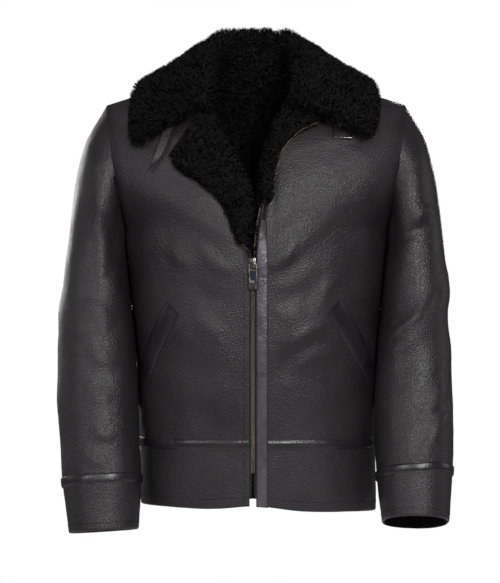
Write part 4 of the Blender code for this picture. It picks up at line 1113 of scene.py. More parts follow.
def with_rims(top, under, out, edges, reach):
    """The fleece side of a wall carried round its free edges, so that fur hangs over them."""
    for edge in edges:
        across = edge.endswith("column")
        if across:
            top, under, out = (a.transpose(1, 0, 2) for a in (top, under, out))
        if edge.startswith("first"):
            top, under, out = (a[::-1] for a in (top, under, out))
        outward = unit(top[-1] - top[-3])
        outward = unit(outward - np.sum(outward * out[-1], axis=1)[:, None] * out[-1])
        rim = [0.5 * (top[-1] + under[-1]) + reach * outward, under[-1] + 0.8 * reach * outward]
        rim_out = [outward, unit(outward - 0.6 * out[-1])]
        out = np.concatenate([out[:-1], [unit(out[-1] + 0.6 * outward)], rim_out])
        top = np.concatenate([top, rim])
        under = np.concatenate([under, [under[-1], under[-1]]])
        if edge.startswith("first"):
            top, under, out = (a[::-1] for a in (top, under, out))
        if across:
            top, under, out = (a.transpose(1, 0, 2) for a in (top, under, out))
    return top, out


def blades(name, points, normals, weight, fur, skin):
    """A joined mesh of thin blades of fur that grow from a grid, leaning together in small locks."""
    rng = np.random.default_rng(fur["seed"])
    rows, columns = points.shape[:2]
    number = np.arange(rows * columns).reshape(rows, columns)
    corners = np.stack([number[:-1, :-1], number[:-1, 1:], number[1:, 1:], number[1:, :-1]], axis=-1)
    corners = corners.reshape(-1, 4)
    flat, flat_normals = points.reshape(-1, 3), normals.reshape(-1, 3)
    p = flat[corners]
    area = np.linalg.norm(np.cross(p[:, 2] - p[:, 0], p[:, 3] - p[:, 1]), axis=1)
    chance = area * weight.reshape(-1)[corners].mean(axis=1)
    cells = rng.choice(len(corners), size=fur["count"], p=chance / chance.sum())
    s, t = rng.random((2, fur["count"], 1))
    shares = np.stack([(1 - s) * (1 - t), (1 - s) * t, s * t, s * (1 - t)], axis=1)
    root = (shares * p[cells]).sum(axis=1)
    out = unit((shares * flat_normals[corners][cells]).sum(axis=1))
    comb = np.asarray(fur["comb"], float)
    comb = comb - np.sum(comb * out, axis=1, keepdims=True) * out
    length = fur["length"] * (0.7 + 0.5 * rng.random((len(root), 1)))
    lean = unit(out + fur["lean"] * comb + fur["stray"] * rng.normal(size=root.shape))
    tip = root + length * lean
    middles = rng.choice(len(root), size=max(1, len(root) // fur["per_lock"]), replace=False)
    tree = KDTree(len(middles))
    for i, middle in enumerate(middles):
        tree.insert(tip[middle], i)
    tree.balance()
    nearest = np.array([middles[tree.find(at)[1]] for at in tip])
    tip = tip + fur["gather"] * (tip[nearest] - tip)
    middle = root + 0.55 * (tip - root) + 0.18 * length * out
    side = unit(np.cross(tip - root, rng.normal(size=root.shape)))
    half = fur["width"] / 2 * (0.7 + 0.6 * rng.random((len(root), 1)))
    strand = np.stack(
        [root - half * side, root + half * side, middle - 0.8 * half * side, middle + 0.8 * half * side, tip],
        axis=1,
    )
    start = 5 * np.arange(len(root))[:, None]
    quads = start + np.array([[0, 1, 3, 2]])
    tips = start + np.array([[2, 3, 4]])
    faces = quads.tolist() + tips.tolist()
    made = mesh_object(name, strand.reshape(-1, 3), [[0, 1, 2]], [skin])
    mesh = made.data
    mesh.clear_geometry()
    mesh.from_pydata(strand.reshape(-1, 3).tolist(), [], faces)
    shading = unit(out + fur["relief"] * unit(tip - root))
    tone = rng.random(len(root)) * 0.3 + 0.7 * rng.random(len(root))[nearest]
    # How far along its blade each point lies, which the fur material turns into painted shade at the root and a
    # painted highlight at the tip.
    shade = np.stack([np.zeros(len(root)), np.zeros(len(root)), 0.5 + 0 * tone, 0.5 + 0 * tone, 1 + 0 * tone], axis=1)
    for key, values in (("tip", shade), ("tone", np.repeat(tone[:, None], 5, axis=1))):
        attribute = mesh.attributes.new(key, "FLOAT", "POINT")
        attribute.data.foreach_set("value", values.reshape(-1).astype(np.float32))
    mesh.shade_smooth()
    mesh.normals_split_custom_set_from_vertices(np.repeat(shading, 5, axis=0).tolist())
    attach(made, "jacket")
    return made


def node(tree, kind, **values):
    """A new shader node with the named inputs and properties set."""
    made = tree.nodes.new(kind)
    for key, value in values.items():
        name = key.replace("_", " ").title()
        if name in made.inputs:
            made.inputs[name].default_value = value
        else:
            setattr(made, key, value)
    return made


def shader_of(name, roughness, metallic=0.0):
    made = bpy.data.materials.new(name)
    made.use_nodes = True
    tree = made.node_tree
    shader = tree.nodes["Principled BSDF"]
    shader.inputs["Roughness"].default_value = roughness
    shader.inputs["Metallic"].default_value = metallic
    place = tree.nodes.new("ShaderNodeTexCoord").outputs["Object"]
    return made, tree, shader, place


def mottled(tree, place, scale, stops, detail=4.0):
    """A colour that wanders between stops with a noise of this scale."""
    source = node(tree, "ShaderNodeTexNoise", scale=scale, detail=detail)
    tree.links.new(place, source.inputs["Vector"])
    ramp = tree.nodes.new("ShaderNodeValToRGB")
    ramp.color_ramp.elements[0].position, ramp.color_ramp.elements[1].position = 0.30, 0.72
    for element, colour in zip(ramp.color_ramp.elements, stops):
        element.color = (*colour, 1.0)
    tree.links.new(source.outputs["Fac"], ramp.inputs["Fac"])
    return ramp.outputs["Color"], source.outputs["Fac"]


def raised(tree, shader, heights):
    """Bump from several heights, each with its own depth in metres."""
    normal = None
    for output, depth, strength in heights:
        bump = node(tree, "ShaderNodeBump", strength=strength, distance=depth)
        tree.links.new(output, bump.inputs["Height"])
        if normal is not None:
            tree.links.new(normal, bump.inputs["Normal"])
        normal = bump.outputs["Normal"]
    tree.links.new(normal, shader.inputs["Normal"])


def ranged(tree, value, low, high):
    made = node(tree, "ShaderNodeMapRange")
    made.inputs["From Min"].default_value = 0.3
    made.inputs["From Max"].default_value = 0.7
    made.inputs["To Min"].default_value = low
    made.inputs["To Max"].default_value = high
    tree.links.new(value, made.inputs["Value"])
    return made.outputs["Result"]


def leather(name, look):
    """Skin with pebbled grain, soft creases and a satin finish that is uneven in its gloss."""
    made, tree, shader, place = shader_of(name, look["roughness"][0])
    colour, wander = mottled(tree, place, look["patch"], look["colours"])
    tree.links.new(colour, shader.inputs["Base Color"])
    tree.links.new(ranged(tree, wander, *look["roughness"]), shader.inputs["Roughness"])
    shader.inputs["Specular IOR Level"].default_value = look["specular"]
    grain = node(tree, "ShaderNodeTexVoronoi", scale=look["grain"], feature="SMOOTH_F1")
    tree.links.new(place, grain.inputs["Vector"])
    crease = node(tree, "ShaderNodeTexNoise", scale=look["crease"], detail=6.0, roughness=0.6)
    tree.links.new(place, crease.inputs["Vector"])
    raised(
        tree,
        shader,
        [
            (crease.outputs["Fac"], look["crease_depth"], 1.0),
            (grain.outputs["Distance"], look["grain_depth"], 1.0),
        ],
    )
    return made


def fleece(name, look):
    """The curled wool side of the skin."""
    made, tree, shader, place = shader_of(name, 0.9)
    colour, wander = mottled(tree, place, look["patch"], look["colours"])
    tree.links.new(colour, shader.inputs["Base Color"])
    shader.inputs["Specular IOR Level"].default_value = 0.15
    curl = node(tree, "ShaderNodeTexVoronoi", scale=look["curl"], feature="SMOOTH_F1")
    tree.links.new(place, curl.inputs["Vector"])
    fuzz = node(tree, "ShaderNodeTexNoise", scale=look["fuzz"], detail=8.0, roughness=0.7)
    tree.links.new(place, fuzz.inputs["Vector"])
    raised(tree, shader, [(curl.outputs["Distance"], look["curl_depth"], 1.0), (fuzz.outputs["Fac"], 0.002, 1.0)])
    return made


def hair(name, look):
    """Blades of fur, darker at the root as painted shade and lighter at the tip as a painted highlight, with each
    lock in its own tone.
    """
    made, tree, shader, place = shader_of(name, look["roughness"])
    tip = node(tree, "ShaderNodeAttribute", attribute_name="tip")
    tone = node(tree, "ShaderNodeAttribute", attribute_name="tone")
    # Painted shade at the root and a painted highlight at the tip, along each blade.
    ramp = tree.nodes.new("ShaderNodeValToRGB")
    for element, colour in zip(ramp.color_ramp.elements, look["shaded_root_to_highlit_tip"]):
        element.color = (*colour, 1.0)
    tree.links.new(tip.outputs["Fac"], ramp.inputs["Fac"])
    patches, _ = mottled(tree, place, look["patch"], ((0.45, 0.45, 0.45), (1.0, 1.0, 1.0)))
    tones = node(tree, "ShaderNodeMapRange")
    tones.inputs["To Min"].default_value = look["tones"][0]
    tones.inputs["To Max"].default_value = look["tones"][1]
    tree.links.new(tone.outputs["Fac"], tones.inputs["Value"])
    product = ramp.outputs["Color"]
    for other in (patches, tones.outputs["Result"]):
        mix = tree.nodes.new("ShaderNodeMix")
        mix.data_type, mix.blend_type = "RGBA", "MULTIPLY"
        mix.inputs["Factor"].default_value = 1.0
        tree.links.new(product, mix.inputs["A"])
        tree.links.new(other, mix.inputs["B"])
        product = mix.outputs["Result"]
    tree.links.new(product, shader.inputs["Base Color"])
    shader.inputs["Specular IOR Level"].default_value = look["specular"]
    return made


def worn_metal(name, colours, roughness):
    made, tree, shader, place = shader_of(name, roughness[0], 1.0)
    colour, wander = mottled(tree, place, 240.0, colours)
    tree.links.new(colour, shader.inputs["Base Color"])
    tree.links.new(ranged(tree, wander, *roughness), shader.inputs["Roughness"])
    return made


def woven(name, colours):
    """Zip tape: a tight herringbone of thread."""
    made, tree, shader, place = shader_of(name, 0.8)
    colour, _ = mottled(tree, place, 500.0, colours)
    tree.links.new(colour, shader.inputs["Base Color"])
    weave = node(tree, "ShaderNodeTexWave", scale=420.0, distortion=0.5, bands_direction="DIAGONAL")
    tree.links.new(place, weave.inputs["Vector"])
    raised(tree, shader, [(weave.outputs["Fac"], 0.0003, 1.0)])
    return made


def plain(name, colours, roughness, scale=150.0):
    made, tree, shader, place = shader_of(name, roughness)
    colour, fac = mottled(tree, place, scale, colours)
    tree.links.new(colour, shader.inputs["Base Color"])
    shader.inputs["Specular IOR Level"].default_value = 0.25
    raised(tree, shader, [(fac, 0.0001, 0.6)])
    return made


def offset_line(grid, normals, edge, distance):
    """Points and normals that run beside an edge of a grid at this distance from it."""
    turned = {
        "first_row": lambda a: a,
        "last_row": lambda a: a[::-1],
        "first_column": lambda a: a.transpose(1, 0, 2),
        "last_column": lambda a: a.transpose(1, 0, 2)[::-1],
    }[edge]
    lines, out = turned(grid), turned(normals)
    walked = np.concatenate([np.zeros((1, lines.shape[1])), np.cumsum(np.linalg.norm(np.diff(lines, axis=0), axis=-1), axis=0)])
    points, line_normals = [], []
    for k in range(lines.shape[1]):
        points.append([np.interp(distance, walked[:, k], lines[:, k, i]) for i in range(3)])
        line_normals.append([np.interp(distance, walked[:, k], out[:, k, i]) for i in range(3)])
    return np.array(points), unit(np.array(line_normals))


def along_line(points, normals, pitch):
    """Places at even steps along a line, with their normals and directions."""
    at = lengths(points)
    count = max(2, int(at[-1] / pitch))
    wanted = (np.arange(count) + 0.5) * at[-1] / count
    place = np.stack([np.interp(wanted, at, points[:, i]) for i in range(3)], axis=1)
    out = unit(np.stack([np.interp(wanted, at, normals[:, i]) for i in range(3)], axis=1))
    ahead = np.stack([np.interp(wanted + 0.0005, at, points[:, i]) for i in range(3)], axis=1)
    behind = np.stack([np.interp(wanted - 0.0005, at, points[:, i]) for i in range(3)], axis=1)
    return place, out, unit(ahead - behind)


def stamped(name, shape_points, shape_faces, places, skin):
    """Many copies of one small closed shape as one joined mesh. Each place is (origin, x, y, z axes)."""
    origin, x, y, z = places
    shape = np.asarray(shape_points, float)
    frames = np.stack([x, y, z], axis=1)
    points = origin[:, None] + np.einsum("sk,nkd->nsd", shape, frames)
    offsets = (np.arange(len(origin)) * len(shape))[:, None, None]
    faces = []
    for face in shape_faces:
        faces += (np.array(face)[None] + offsets[:, 0]).tolist()
    made = mesh_object(name, points.reshape(-1, 3), faces[:0] or [], [skin])
    made.data.clear_geometry()
    made.data.from_pydata(points.reshape(-1, 3).tolist(), [], faces)
    made.data.shade_smooth()
    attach(made, "jacket")
    return made


def strip(name, grid, normals, rest, thick, skins, node, ring=False, across=True, crown=TAPE_CROWN):
    """A flat strip that lies on a panel, with both long edges rounded down."""
    ends = 0 if across else 1
    count = grid.shape[ends]
    from_edge = np.minimum(np.arange(count), np.arange(count)[::-1])
    from_side = from_edge / from_edge.max()
    body = np.clip(0.35 + 0.35 * from_edge, 0, 1) + crown / thick * from_side * (2 - from_side)
    body = body[:, None] if ends == 0 else body[None, :]
    outer = grid + (rest + thick * np.broadcast_to(body, grid.shape[:2])[..., None]) * normals
    inner = grid + rest * normals
    return cloth(name, outer, inner, ring, skins, node), outer


def add_panels(surfaces, normals, skins):
    """The leather and fleece panels."""
    seams = {
        "hem_band_right": ("last_row", "last_column"),
        "front_right": ("first_row", "last_row", "last_column"),
        "hem_band_left": ("last_row", "last_column"),
        "front_left": ("first_row", "last_row", "last_column"),
        "hem_band_back": ("last_row", "first_column", "last_column"),
        "back": ("first_row", "last_row", "first_column", "last_column"),
        "sleeve_right": ("first_row", "last_row"),
        "sleeve_left": ("first_row", "last_row"),
        "cuff_right": ("first_row",),
        "cuff_left": ("first_row",),
    }
    made = {}
    for name, edges in seams.items():
        depth = SKIN
        if name == "front_right":
            depth = fine_depth(WEARERS_RIGHT)
        if name == "front_left":
            depth = fine_depth(WEARERS_LEFT)
        made[name] = panel_wall(name, surfaces, normals, depth, edges, skins)
    return made


def fine_depth(front):
    """Wall thickness of a front at every fine point: deeper fleece where it is turned back."""
    rows, columns = len(panel_levels()), front["edge_columns"] + NECK_COLUMNS + SHOULDER_COLUMNS + 1
    coarse = fleece_depth(front, np.zeros((rows, columns, 3)))
    grid = finer_lines(coarse[..., None], STEPS, False)
    return finer_lines(grid.transpose(1, 0, 2), STEPS, False).transpose(1, 0, 2)[..., 0]


def pulled(grid, pulls):
    """The grid with soft pulls where the fur's own outline leaves the even shape of the collar."""
    moved = grid.copy()
    for values in pulls:
        row = dict(zip(PULL_COLUMNS, values))
        away = np.hypot(grid[..., 0] - row["x"], grid[..., 2] - row["z"]) / row["radius"]
        moved += np.exp(-(away**2))[..., None] * np.array([row["dx"], 0.0, row["dz"]])
    return moved


def add_collar(surfaces, normals, skins, hair_skin):
    """The collar: smooth leather below, deep fur above, with the fur's own blades."""
    grid, facing, ring = surfaces["collar"]
    out = normals["collar"]
    own = leather_normals({"collar": surfaces["collar"]})["collar"]
    edges = ("first_row", "first_column", "last_column")
    grid = grid + seam_moves(grid, own, out, edges, ring) * COLLAR_GAP / SEAM_GAP
    share = np.linspace(0, 1, grid.shape[0])[:, None]
    grown = np.minimum(1, share / 0.25) * np.minimum(1, 0.45 + (1 - share) / 0.14)
    column = np.arange(grid.shape[1]) / STEPS
    from_end = np.minimum(column, column[::-1])
    grown = np.minimum(1, grown) * np.minimum(1, 0.55 + 0.15 * from_end)
    thick = COLLAR_ROOT + (COLLAR_FUR - FUR_SINK - COLLAR_ROOT) * grown
    lumps = curls(grid, FUR_LUMP, FUR_SCALE) - FUR_LUMP / 2
    top = grid - (thick + lumps)[..., None] * out
    grid, top = pulled(grid, COLLAR_PULLS), pulled(top, COLLAR_PULLS)
    made = cloth("collar_shell", grid, top, ring, skins, "collar")
    fur_grid, fur_out = with_rims(top, grid, -out, ("last_row", "first_column", "last_column"), COLLAR_OVERHANG)
    weight = np.ones(fur_grid.shape[:2])
    hair = blades("collar_fur", fur_grid, fur_out, weight, COLLAR_HAIR, hair_skin)
    return made, hair


def add_lapels(surfaces, normals, hair_skin):
    """Blades of fleece on the turned back fronts and on what shows inside the neck."""
    made = []
    for side, front in (("right", WEARERS_RIGHT), ("left", WEARERS_LEFT)):
        grid = surfaces["front_" + side][0]
        out = normals["front_" + side]
        top = grid - fine_depth(front)[..., None] * out
        rows, columns = grid.shape[:2]
        level = np.interp(np.arange(rows) / STEPS, np.arange(len(panel_levels())), panel_levels())
        weight = np.clip((level - ZIP_SPLIT_Z - 0.004) / 0.02, 0, 1)[:, None] * np.ones(columns)
        weight[:, (front["edge_columns"] + 4) * STEPS :] = 0.25
        rim = 3.0 if side == "right" else 1.0
        weight = np.concatenate([np.repeat(rim * weight[:, :1], 2, axis=1), weight], axis=1)
        reach = LAPEL_OVERHANG if side == "right" else 0.0
        top, out = with_rims(top, grid, -out, ("first_column",), reach)
        made.append(blades("lapel_fleece_" + side, top, out, weight, LAPEL_HAIR, hair_skin))
    grid, out = surfaces["back"][0], normals["back"]
    level = np.interp(np.arange(len(grid)) / STEPS, np.arange(len(panel_levels())), panel_levels())
    weight = np.clip((level + 0.30) / 0.03, 0, 1)[:, None] * np.ones(grid.shape[1])
    made.append(blades("back_fleece", grid - SKIN * out, -out, weight, INSIDE_HAIR, hair_skin))
    return made


def add_tapes(surfaces, normals, skin, facing_painted_highlight_skin):
    """Smooth leather tapes over the band seams, the cuff seams and beside the zip."""
    made, lines = {}, []
    first_left = WEARERS_LEFT["edge_columns"] * STEPS
    for side, first in (("right", 0), ("left", first_left), ("back", 0)):
        panel = "back" if side == "back" else "front_" + side
        band = "hem_band_" + side
        grid = np.concatenate([surfaces[band][0][-STEPS - 1 :, first:], surfaces[panel][0][1 : STEPS + 1, first:]])
        out = np.concatenate([normals[band][-STEPS - 1 :, first:], normals[panel][1 : STEPS + 1, first:]])
        name = "waist_tape_" + side
        ends = ("last_column",) if side == "right" else ("first_column", "last_column")
        own = leather_normals({name: (grid, surfaces[panel][1], False)})[name]
        grid = grid + seam_moves(grid, own, out, ends, False)
        made[name], top = strip(name + "_shell", grid, out, REST_GAP, TAPE, [skin], name)
        lines += [(top, out, "first_row", TAPE_STITCH, False), (top, out, "last_row", TAPE_STITCH, False)]
    for side in ("right", "left"):
        sleeve, cuff = "sleeve_" + side, "cuff_" + side
        grid = np.concatenate([surfaces[sleeve][0][-STEPS - 1 :], surfaces[cuff][0][1 : STEPS + 1]])
        out = np.concatenate([normals[sleeve][-STEPS - 1 :], normals[cuff][1 : STEPS + 1]])
        name = "cuff_tape_" + side
        made[name], top = strip(name + "_shell", grid, out, REST_GAP, TAPE, [skin], name, ring=True)
        lines += [(top, out, "first_row", TAPE_STITCH, True), (top, out, "last_row", TAPE_STITCH, True)]
    columns = slice(0, first_left + 1)
    last = (FACING_TOP_ROW - 1) * STEPS
    grid = np.concatenate([surfaces["hem_band_left"][0][:-1, columns], surfaces["front_left"][0][:last, columns]])
    out = np.concatenate([normals["hem_band_left"][:-1, columns], normals["front_left"][:last, columns]])
    # The facing's material carries a painted highlight in its colour.
    made["zip_facing"], top = strip("zip_facing_shell", grid, out, REST_GAP, TAPE, [facing_painted_highlight_skin], "zip_facing", across=False, crown=FACING_CROWN)
    lines += [(top, out, "first_column", TAPE_STITCH, False), (top, out, "last_column", TAPE_STITCH, False)]
    return made, lines


def add_pocket_welts(surfaces, normals, skin):
    """A slanted welt on each front, made from the front's own surface moved out."""
    levels = panel_levels()
    shares = split_fractions(NECK_SHARE)
    made, lines = {}, []
    for side, front in (("right", WEARERS_RIGHT), ("left", WEARERS_LEFT)):
        corners = {name: np.array(at) for name, at in POCKET_CORNERS[side].items()}
        grid, out = surfaces["front_" + side][0], normals["front_" + side]
        points, point_normals = [], []
        for s in np.linspace(0, 1, 10 * POCKET_STEPS + 1):
            inner = corners["top_in"] * (1 - s) + corners["low_in"] * s
            outer = corners["top_out"] * (1 - s) + corners["low_out"] * s
            for t in WELT_ACROSS:
                share, z = inner * (1 - t) + outer * t
                row = np.interp(z, levels, np.arange(len(levels))) * STEPS
                column = front["edge_columns"] + np.interp(share, shares, np.arange(len(shares)))
                points.append(read_grid(grid, row, column * STEPS))
                point_normals.append(read_grid(out, row, column * STEPS))
        patch = np.array(points).reshape(-1, len(WELT_ACROSS), 3)
        patch_normals = unit(np.array(point_normals).reshape(-1, len(WELT_ACROSS), 3))
        name = "pocket_welt_" + side
        made[name], top = strip(
            name + "_shell", patch, patch_normals, POCKET_REST, POCKET_WELT, [skin], name, across=False
        )
        for edge in ("first_row", "last_row", "first_column", "last_column"):
            lines.append((top, patch_normals, edge, TAPE_STITCH, False))
    return made, lines


def add_throat_strap(skin):
    read = table(("s", *STRAP_COLUMNS), [(i, *row) for i, row in enumerate(STRAP_PATH)], "s")
    rows = []
    for s in np.linspace(0, len(STRAP_PATH) - 1, 61):
        at = read(s)
        a = math.radians(at["turn"])
        across = unit(np.array([math.cos(a), 0.35 * math.sin(a), math.sin(a)]))
        middle = np.array([at["x"], at["y"], at["z"]])
        rows.append([middle + t * at["width"] * across for t in STRAP_ACROSS])
    grid = np.array(rows)
    out = leather_normals({"strap": (grid, 1, False)})["strap"]
    made, top = strip("throat_strap_shell", grid - STRAP_THICK * out, out, 0.0, STRAP_THICK, [skin], "throat_strap", across=False)
    lines = [(top, out, edge, TAPE_STITCH, False) for edge in ("first_column", "last_column")]
    return made, lines


def add_stitches(lines, skin):
    """Every line of stitches, as one joined mesh of short raised threads, wide enough to carry the painted shade of
    the stitch holes too.
    """
    place, out, along = [], [], []
    for points, normals in lines:
        one = along_line(points, normals, STITCH["pitch"])
        for target, values in zip((place, out, along), one):
            target.append(values)
    place, out, along = (np.concatenate(each) for each in (place, out, along))
    side = unit(np.cross(out, along))
    half, width, rise = STITCH["length"] / 2, STITCH["half_width"], STITCH["rise"]
    shape = [
        (-half, 0, -width), (-0.6 * half, width, 0), (-0.6 * half, 0, rise), (-0.6 * half, -width, 0),
        (0.6 * half, width, 0), (0.6 * half, 0, rise), (0.6 * half, -width, 0), (half, 0, -width),
        (-0.6 * half, 0, -width), (0.6 * half, 0, -width),
    ]
    faces = [
        (0, 2, 1), (0, 3, 2), (1, 2, 5, 4), (2, 3, 6, 5), (4, 5, 7), (5, 6, 7),
        (0, 1, 8), (0, 8, 3), (1, 4, 9, 8), (3, 8, 9, 6), (4, 7, 9), (6, 9, 7),
    ]
    return stamped("stitching", shape, faces, (place, along, side, out), skin)


def seam_lines(surfaces, normals):
    """Stitch lines on the panels themselves: hems, cuffs, front edge and lapped seams."""
    wanted = [
        ("hem_band_right", "first_row", HEM_STITCH), ("hem_band_left", "first_row", HEM_STITCH),
        ("hem_band_back", "first_row", HEM_STITCH),
        ("cuff_right", "last_row", CUFF_STITCH), ("cuff_left", "last_row", CUFF_STITCH),
        ("hem_band_right", "first_column", EDGE_STITCH),
        ("hem_band_right", "last_column", LAP_STITCHES[0]), ("hem_band_left", "last_column", LAP_STITCHES[0]),
    ]
    for name in ("front_right", "front_left"):
        wanted += [(name, "last_column", d) for d in LAP_STITCHES]
        wanted += [(name, "last_row", d) for d in LAP_STITCHES]
    lines = []
    for name, edge, distance in wanted:
        grid, out = surfaces[name][0], normals[name]
        points, point_normals = offset_line(grid, out, edge, distance)
        if name.startswith("cuff"):
            points, point_normals = (np.concatenate([a, a[:1]]) for a in (points, point_normals))
        if edge == "last_row" and name.startswith("front"):
            start = (WEARERS_RIGHT if name.endswith("right") else WEARERS_LEFT)["edge_columns"] + NECK_COLUMNS
            points, point_normals = points[start * STEPS :], point_normals[start * STEPS :]
        lines.append((points, point_normals))
    grid, out = surfaces["front_right"][0], normals["front_right"]
    flat = int(np.searchsorted(panel_levels(), ZIP_SPLIT_Z + 0.01)) * STEPS
    lines.append(offset_line(grid[:flat], out[:flat], "first_column", EDGE_STITCH))
    return lines


def zip_edge(surfaces, normals, side):
    """The free edge of a front from near the hem up, with its outward and facing directions."""
    band, panel = "hem_band_" + side, "front_" + side
    grid = np.concatenate([surfaces[band][0][STEPS:-1], surfaces[panel][0]])
    out = np.concatenate([normals[band][STEPS:-1], normals[panel]])[:, 0]
    edge = grid[:, 0]
    along = unit(np.gradient(edge, axis=0))
    outward = unit(edge - grid[:, STEPS])
    outward = unit(outward - np.sum(outward * along, axis=1)[:, None] * along)
    return edge, out, outward, along


def add_zip(surfaces, normals, cloth_skin, metal):
    """Both zip tapes and their rows of teeth, which mesh below the slider."""
    made = {}
    for side, start in (("right", 0.0), ("left", 0.5)):
        edge, out, outward, along = zip_edge(surfaces, normals, side)
        reach = ZIP_GAP + np.array((-0.0010, 0.0006, 0.0014, 0.0020))
        grid = edge[:, None] + reach[None, :, None] * outward[:, None]
        tape_normals = np.repeat(out[:, None], len(reach), axis=1)
        top = grid + (ZIP_THICK[0] / 2 - ZIP_SINK) * tape_normals
        name = "zip_tape_" + side
        made[name] = cloth(name + "_cloth", top, top - 0.0010 * tape_normals, False, [cloth_skin], name)
        at = lengths(edge)
        first = np.interp(TEETH_START_Z, edge[:, 2], at)
        wanted = np.arange(first + start * TOOTH["pitch"], at[-1] - 0.002, TOOTH["pitch"])
        read = lambda values: np.stack([np.interp(wanted, at, values[:, i]) for i in range(3)], axis=1)
        x, z, y = unit(read(outward)), unit(read(out)), unit(read(along))
        origin = read(edge) - ZIP_SINK * z
        low, high = (ZIP_GAP + r - 0.0012 for r in TOOTH["reach"])
        a, t = TOOTH["half_along"], TOOTH["half_thick"]
        shape = []
        for reach_x, share in ((low, 0.9), (0.6 * low + 0.4 * high, 0.75), (high - 0.0008, 1.0), (high, 0.5)):
            shape += [(reach_x, sy * a * share, sz * t * min(1, share + 0.15)) for sy, sz in ((-1, -1), (1, -1), (1, 1), (-1, 1))]
        faces = [(3, 2, 1, 0), (12, 13, 14, 15)]
        for k in range(3):
            for i in range(4):
                j = (i + 1) % 4
                faces.append((4 * k + i, 4 * k + j, 4 * k + 4 + j, 4 * k + 4 + i))
        made["teeth_" + side] = stamped("zip_teeth_" + side, shape, faces, (origin, x, y, z), metal)
    return made


def bevelled(name, cad, width, skin, body):
    """A piece of hardware with the solid's shape and softened edges."""
    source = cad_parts[cad].data
    mesh = source.copy()
    mesh.name = name
    work = bmesh.new()
    work.from_mesh(mesh)
    bmesh.ops.remove_doubles(work, verts=work.verts, dist=1e-5)
    bmesh.ops.dissolve_limit(work, angle_limit=math.radians(1), verts=work.verts, edges=work.edges)
    sharp = [e for e in work.edges if len(e.link_faces) == 2 and e.calc_face_angle() > math.radians(25)]
    bmesh.ops.bevel(work, geom=sharp, offset=width, segments=3, profile=0.6, affect="EDGES", clamp_overlap=True)
    work.to_mesh(mesh)
    work.free()
    mesh.materials.clear()
    mesh.materials.append(skin)
    mesh.shade_smooth()
    mesh.set_sharp_from_angle(angle=math.radians(40))
    made = bpy.data.objects.new(name, mesh)
    bpy.context.scene.collection.objects.link(made)
    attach(made, body)
    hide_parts(cad)
    return made


def add_stage():
    """A pale round floor under the jacket."""
    turns = np.linspace(0, 2 * math.pi, FLOOR["corners"], endpoint=False)
    points = [(FLOOR["radius"] * math.cos(a), FLOOR["radius"] * math.sin(a), FLOOR["z"]) for a in turns]
    paper = plain("pale_paper", ((0.82, 0.82, 0.83), (0.88, 0.88, 0.88)), 0.9, 3.0)
    mesh_object("floor", points, [range(len(points))], [paper])


def add_light_and_camera():
    for values in LAMPS:
        lamp = dict(zip(LAMP_COLUMNS, values))
        data = bpy.data.lights.new(lamp["name"], "AREA")
        data.size, data.energy = lamp["size"], lamp["power"]
        made = bpy.data.objects.new(lamp["name"], data)
        made.location = lamp["at"]
        aim = Vector((0.0, 0.0, -0.33)) - Vector(lamp["at"])
        made.rotation_euler = aim.to_track_quat("-Z", "Y").to_euler()
        bpy.context.scene.collection.objects.link(made)
    world = bpy.data.worlds.new("studio")
    world.use_nodes = True
    tree = world.node_tree
    shown = tree.nodes["Background"]
    shown.inputs["Color"].default_value = (1.0, 1.0, 1.0, 1.0)
    # The white paper behind is brighter than the room that the leather mirrors.
    strength = node(tree, "ShaderNodeMapRange")
    strength.inputs["To Min"].default_value = SKY_LIGHT
    strength.inputs["To Max"].default_value = SKY_SEEN
    tree.links.new(tree.nodes.new("ShaderNodeLightPath").outputs["Is Camera Ray"], strength.inputs["Value"])
    tree.links.new(strength.outputs["Result"], shown.inputs["Strength"])
    bpy.context.scene.world = world
    bpy.context.scene.view_settings.view_transform = "Standard"
    data = bpy.data.cameras.new("camera")
    data.lens, data.sensor_width = CAMERA["lens"], CAMERA["sensor"]
    made = bpy.data.objects.new("camera", data)
    made.location = CAMERA["at"]
    made.rotation_euler = (math.pi / 2, 0.0, 0.0)
    bpy.context.scene.collection.objects.link(made)
    bpy.context.scene.camera = made


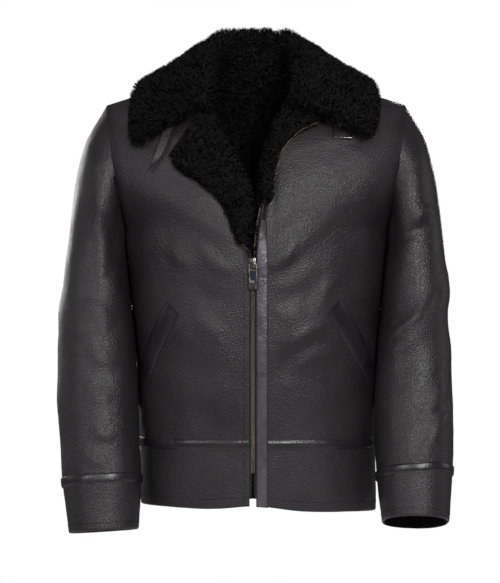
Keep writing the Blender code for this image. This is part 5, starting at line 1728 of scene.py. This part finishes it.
def main():
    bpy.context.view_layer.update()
    skin = leather("grained_leather", LEATHER_LOOK)
    smooth_skin = leather("smooth_leather", TAPE_LOOK)
    # Leather for the zip facing, lighter in colour as a painted highlight.
    glazed_painted_highlight_skin = leather("glazed_leather_painted_highlight", FACING_LOOK_WITH_PAINTED_HIGHLIGHT)
    wool = fleece("fleece", FLEECE_LOOK)
    strands = hair("fur", HAIR_LOOK)
    tape_cloth = woven("zip_tape_cloth", ((0.010, 0.009, 0.010), (0.022, 0.020, 0.022)))
    teeth_metal = worn_metal("aged_teeth", BRASS, (0.35, 0.5))
    metal = worn_metal("polished_metal", NICKEL, (0.16, 0.28))
    # Near-black thread, which on the wide stitches also stands for the painted shade of the stitch holes.
    thread = plain("thread", ((0.003, 0.0025, 0.003), (0.007, 0.006, 0.007)), 0.8)
    enamel = plain("blue_insert", ((0.004, 0.014, 0.028), (0.007, 0.022, 0.040)), 0.55)
    surfaces, normals = all_surfaces()
    panels = add_panels(surfaces, normals, [skin, wool])
    collar, collar_fur = add_collar(surfaces, normals, [smooth_skin, wool], strands)
    fleeces = add_lapels(surfaces, normals, strands)
    tapes, tape_lines = add_tapes(surfaces, normals, smooth_skin, glazed_painted_highlight_skin)
    welts, welt_lines = add_pocket_welts(surfaces, normals, smooth_skin)
    strap, strap_lines = add_throat_strap(skin)
    zips = add_zip(surfaces, normals, tape_cloth, teeth_metal)
    lines = seam_lines(surfaces, normals)
    for top, out, edge, distance, ring in tape_lines + welt_lines + strap_lines:
        points, point_normals = offset_line(top, out, edge, distance)
        if ring:
            points, point_normals = (np.concatenate([a, a[:1]]) for a in (points, point_normals))
        lines.append((points, point_normals))
    add_stitches(lines, thread)
    bevelled("slider", "zip_slider", 0.0006, metal, "jacket")
    bevelled("pull", "zip_pull", 0.0004, metal, "pull")
    bevelled("pull_insert", "zip_pull_insert", 0.0002, enamel, "pull")
    bevelled("buckle", "buckle_frame", 0.0008, metal, "buckle")
    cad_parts["buckle_chape"].data.materials.clear()
    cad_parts["buckle_chape"].data.materials.append(smooth_skin)
    add_stage()
    add_light_and_camera()


main()
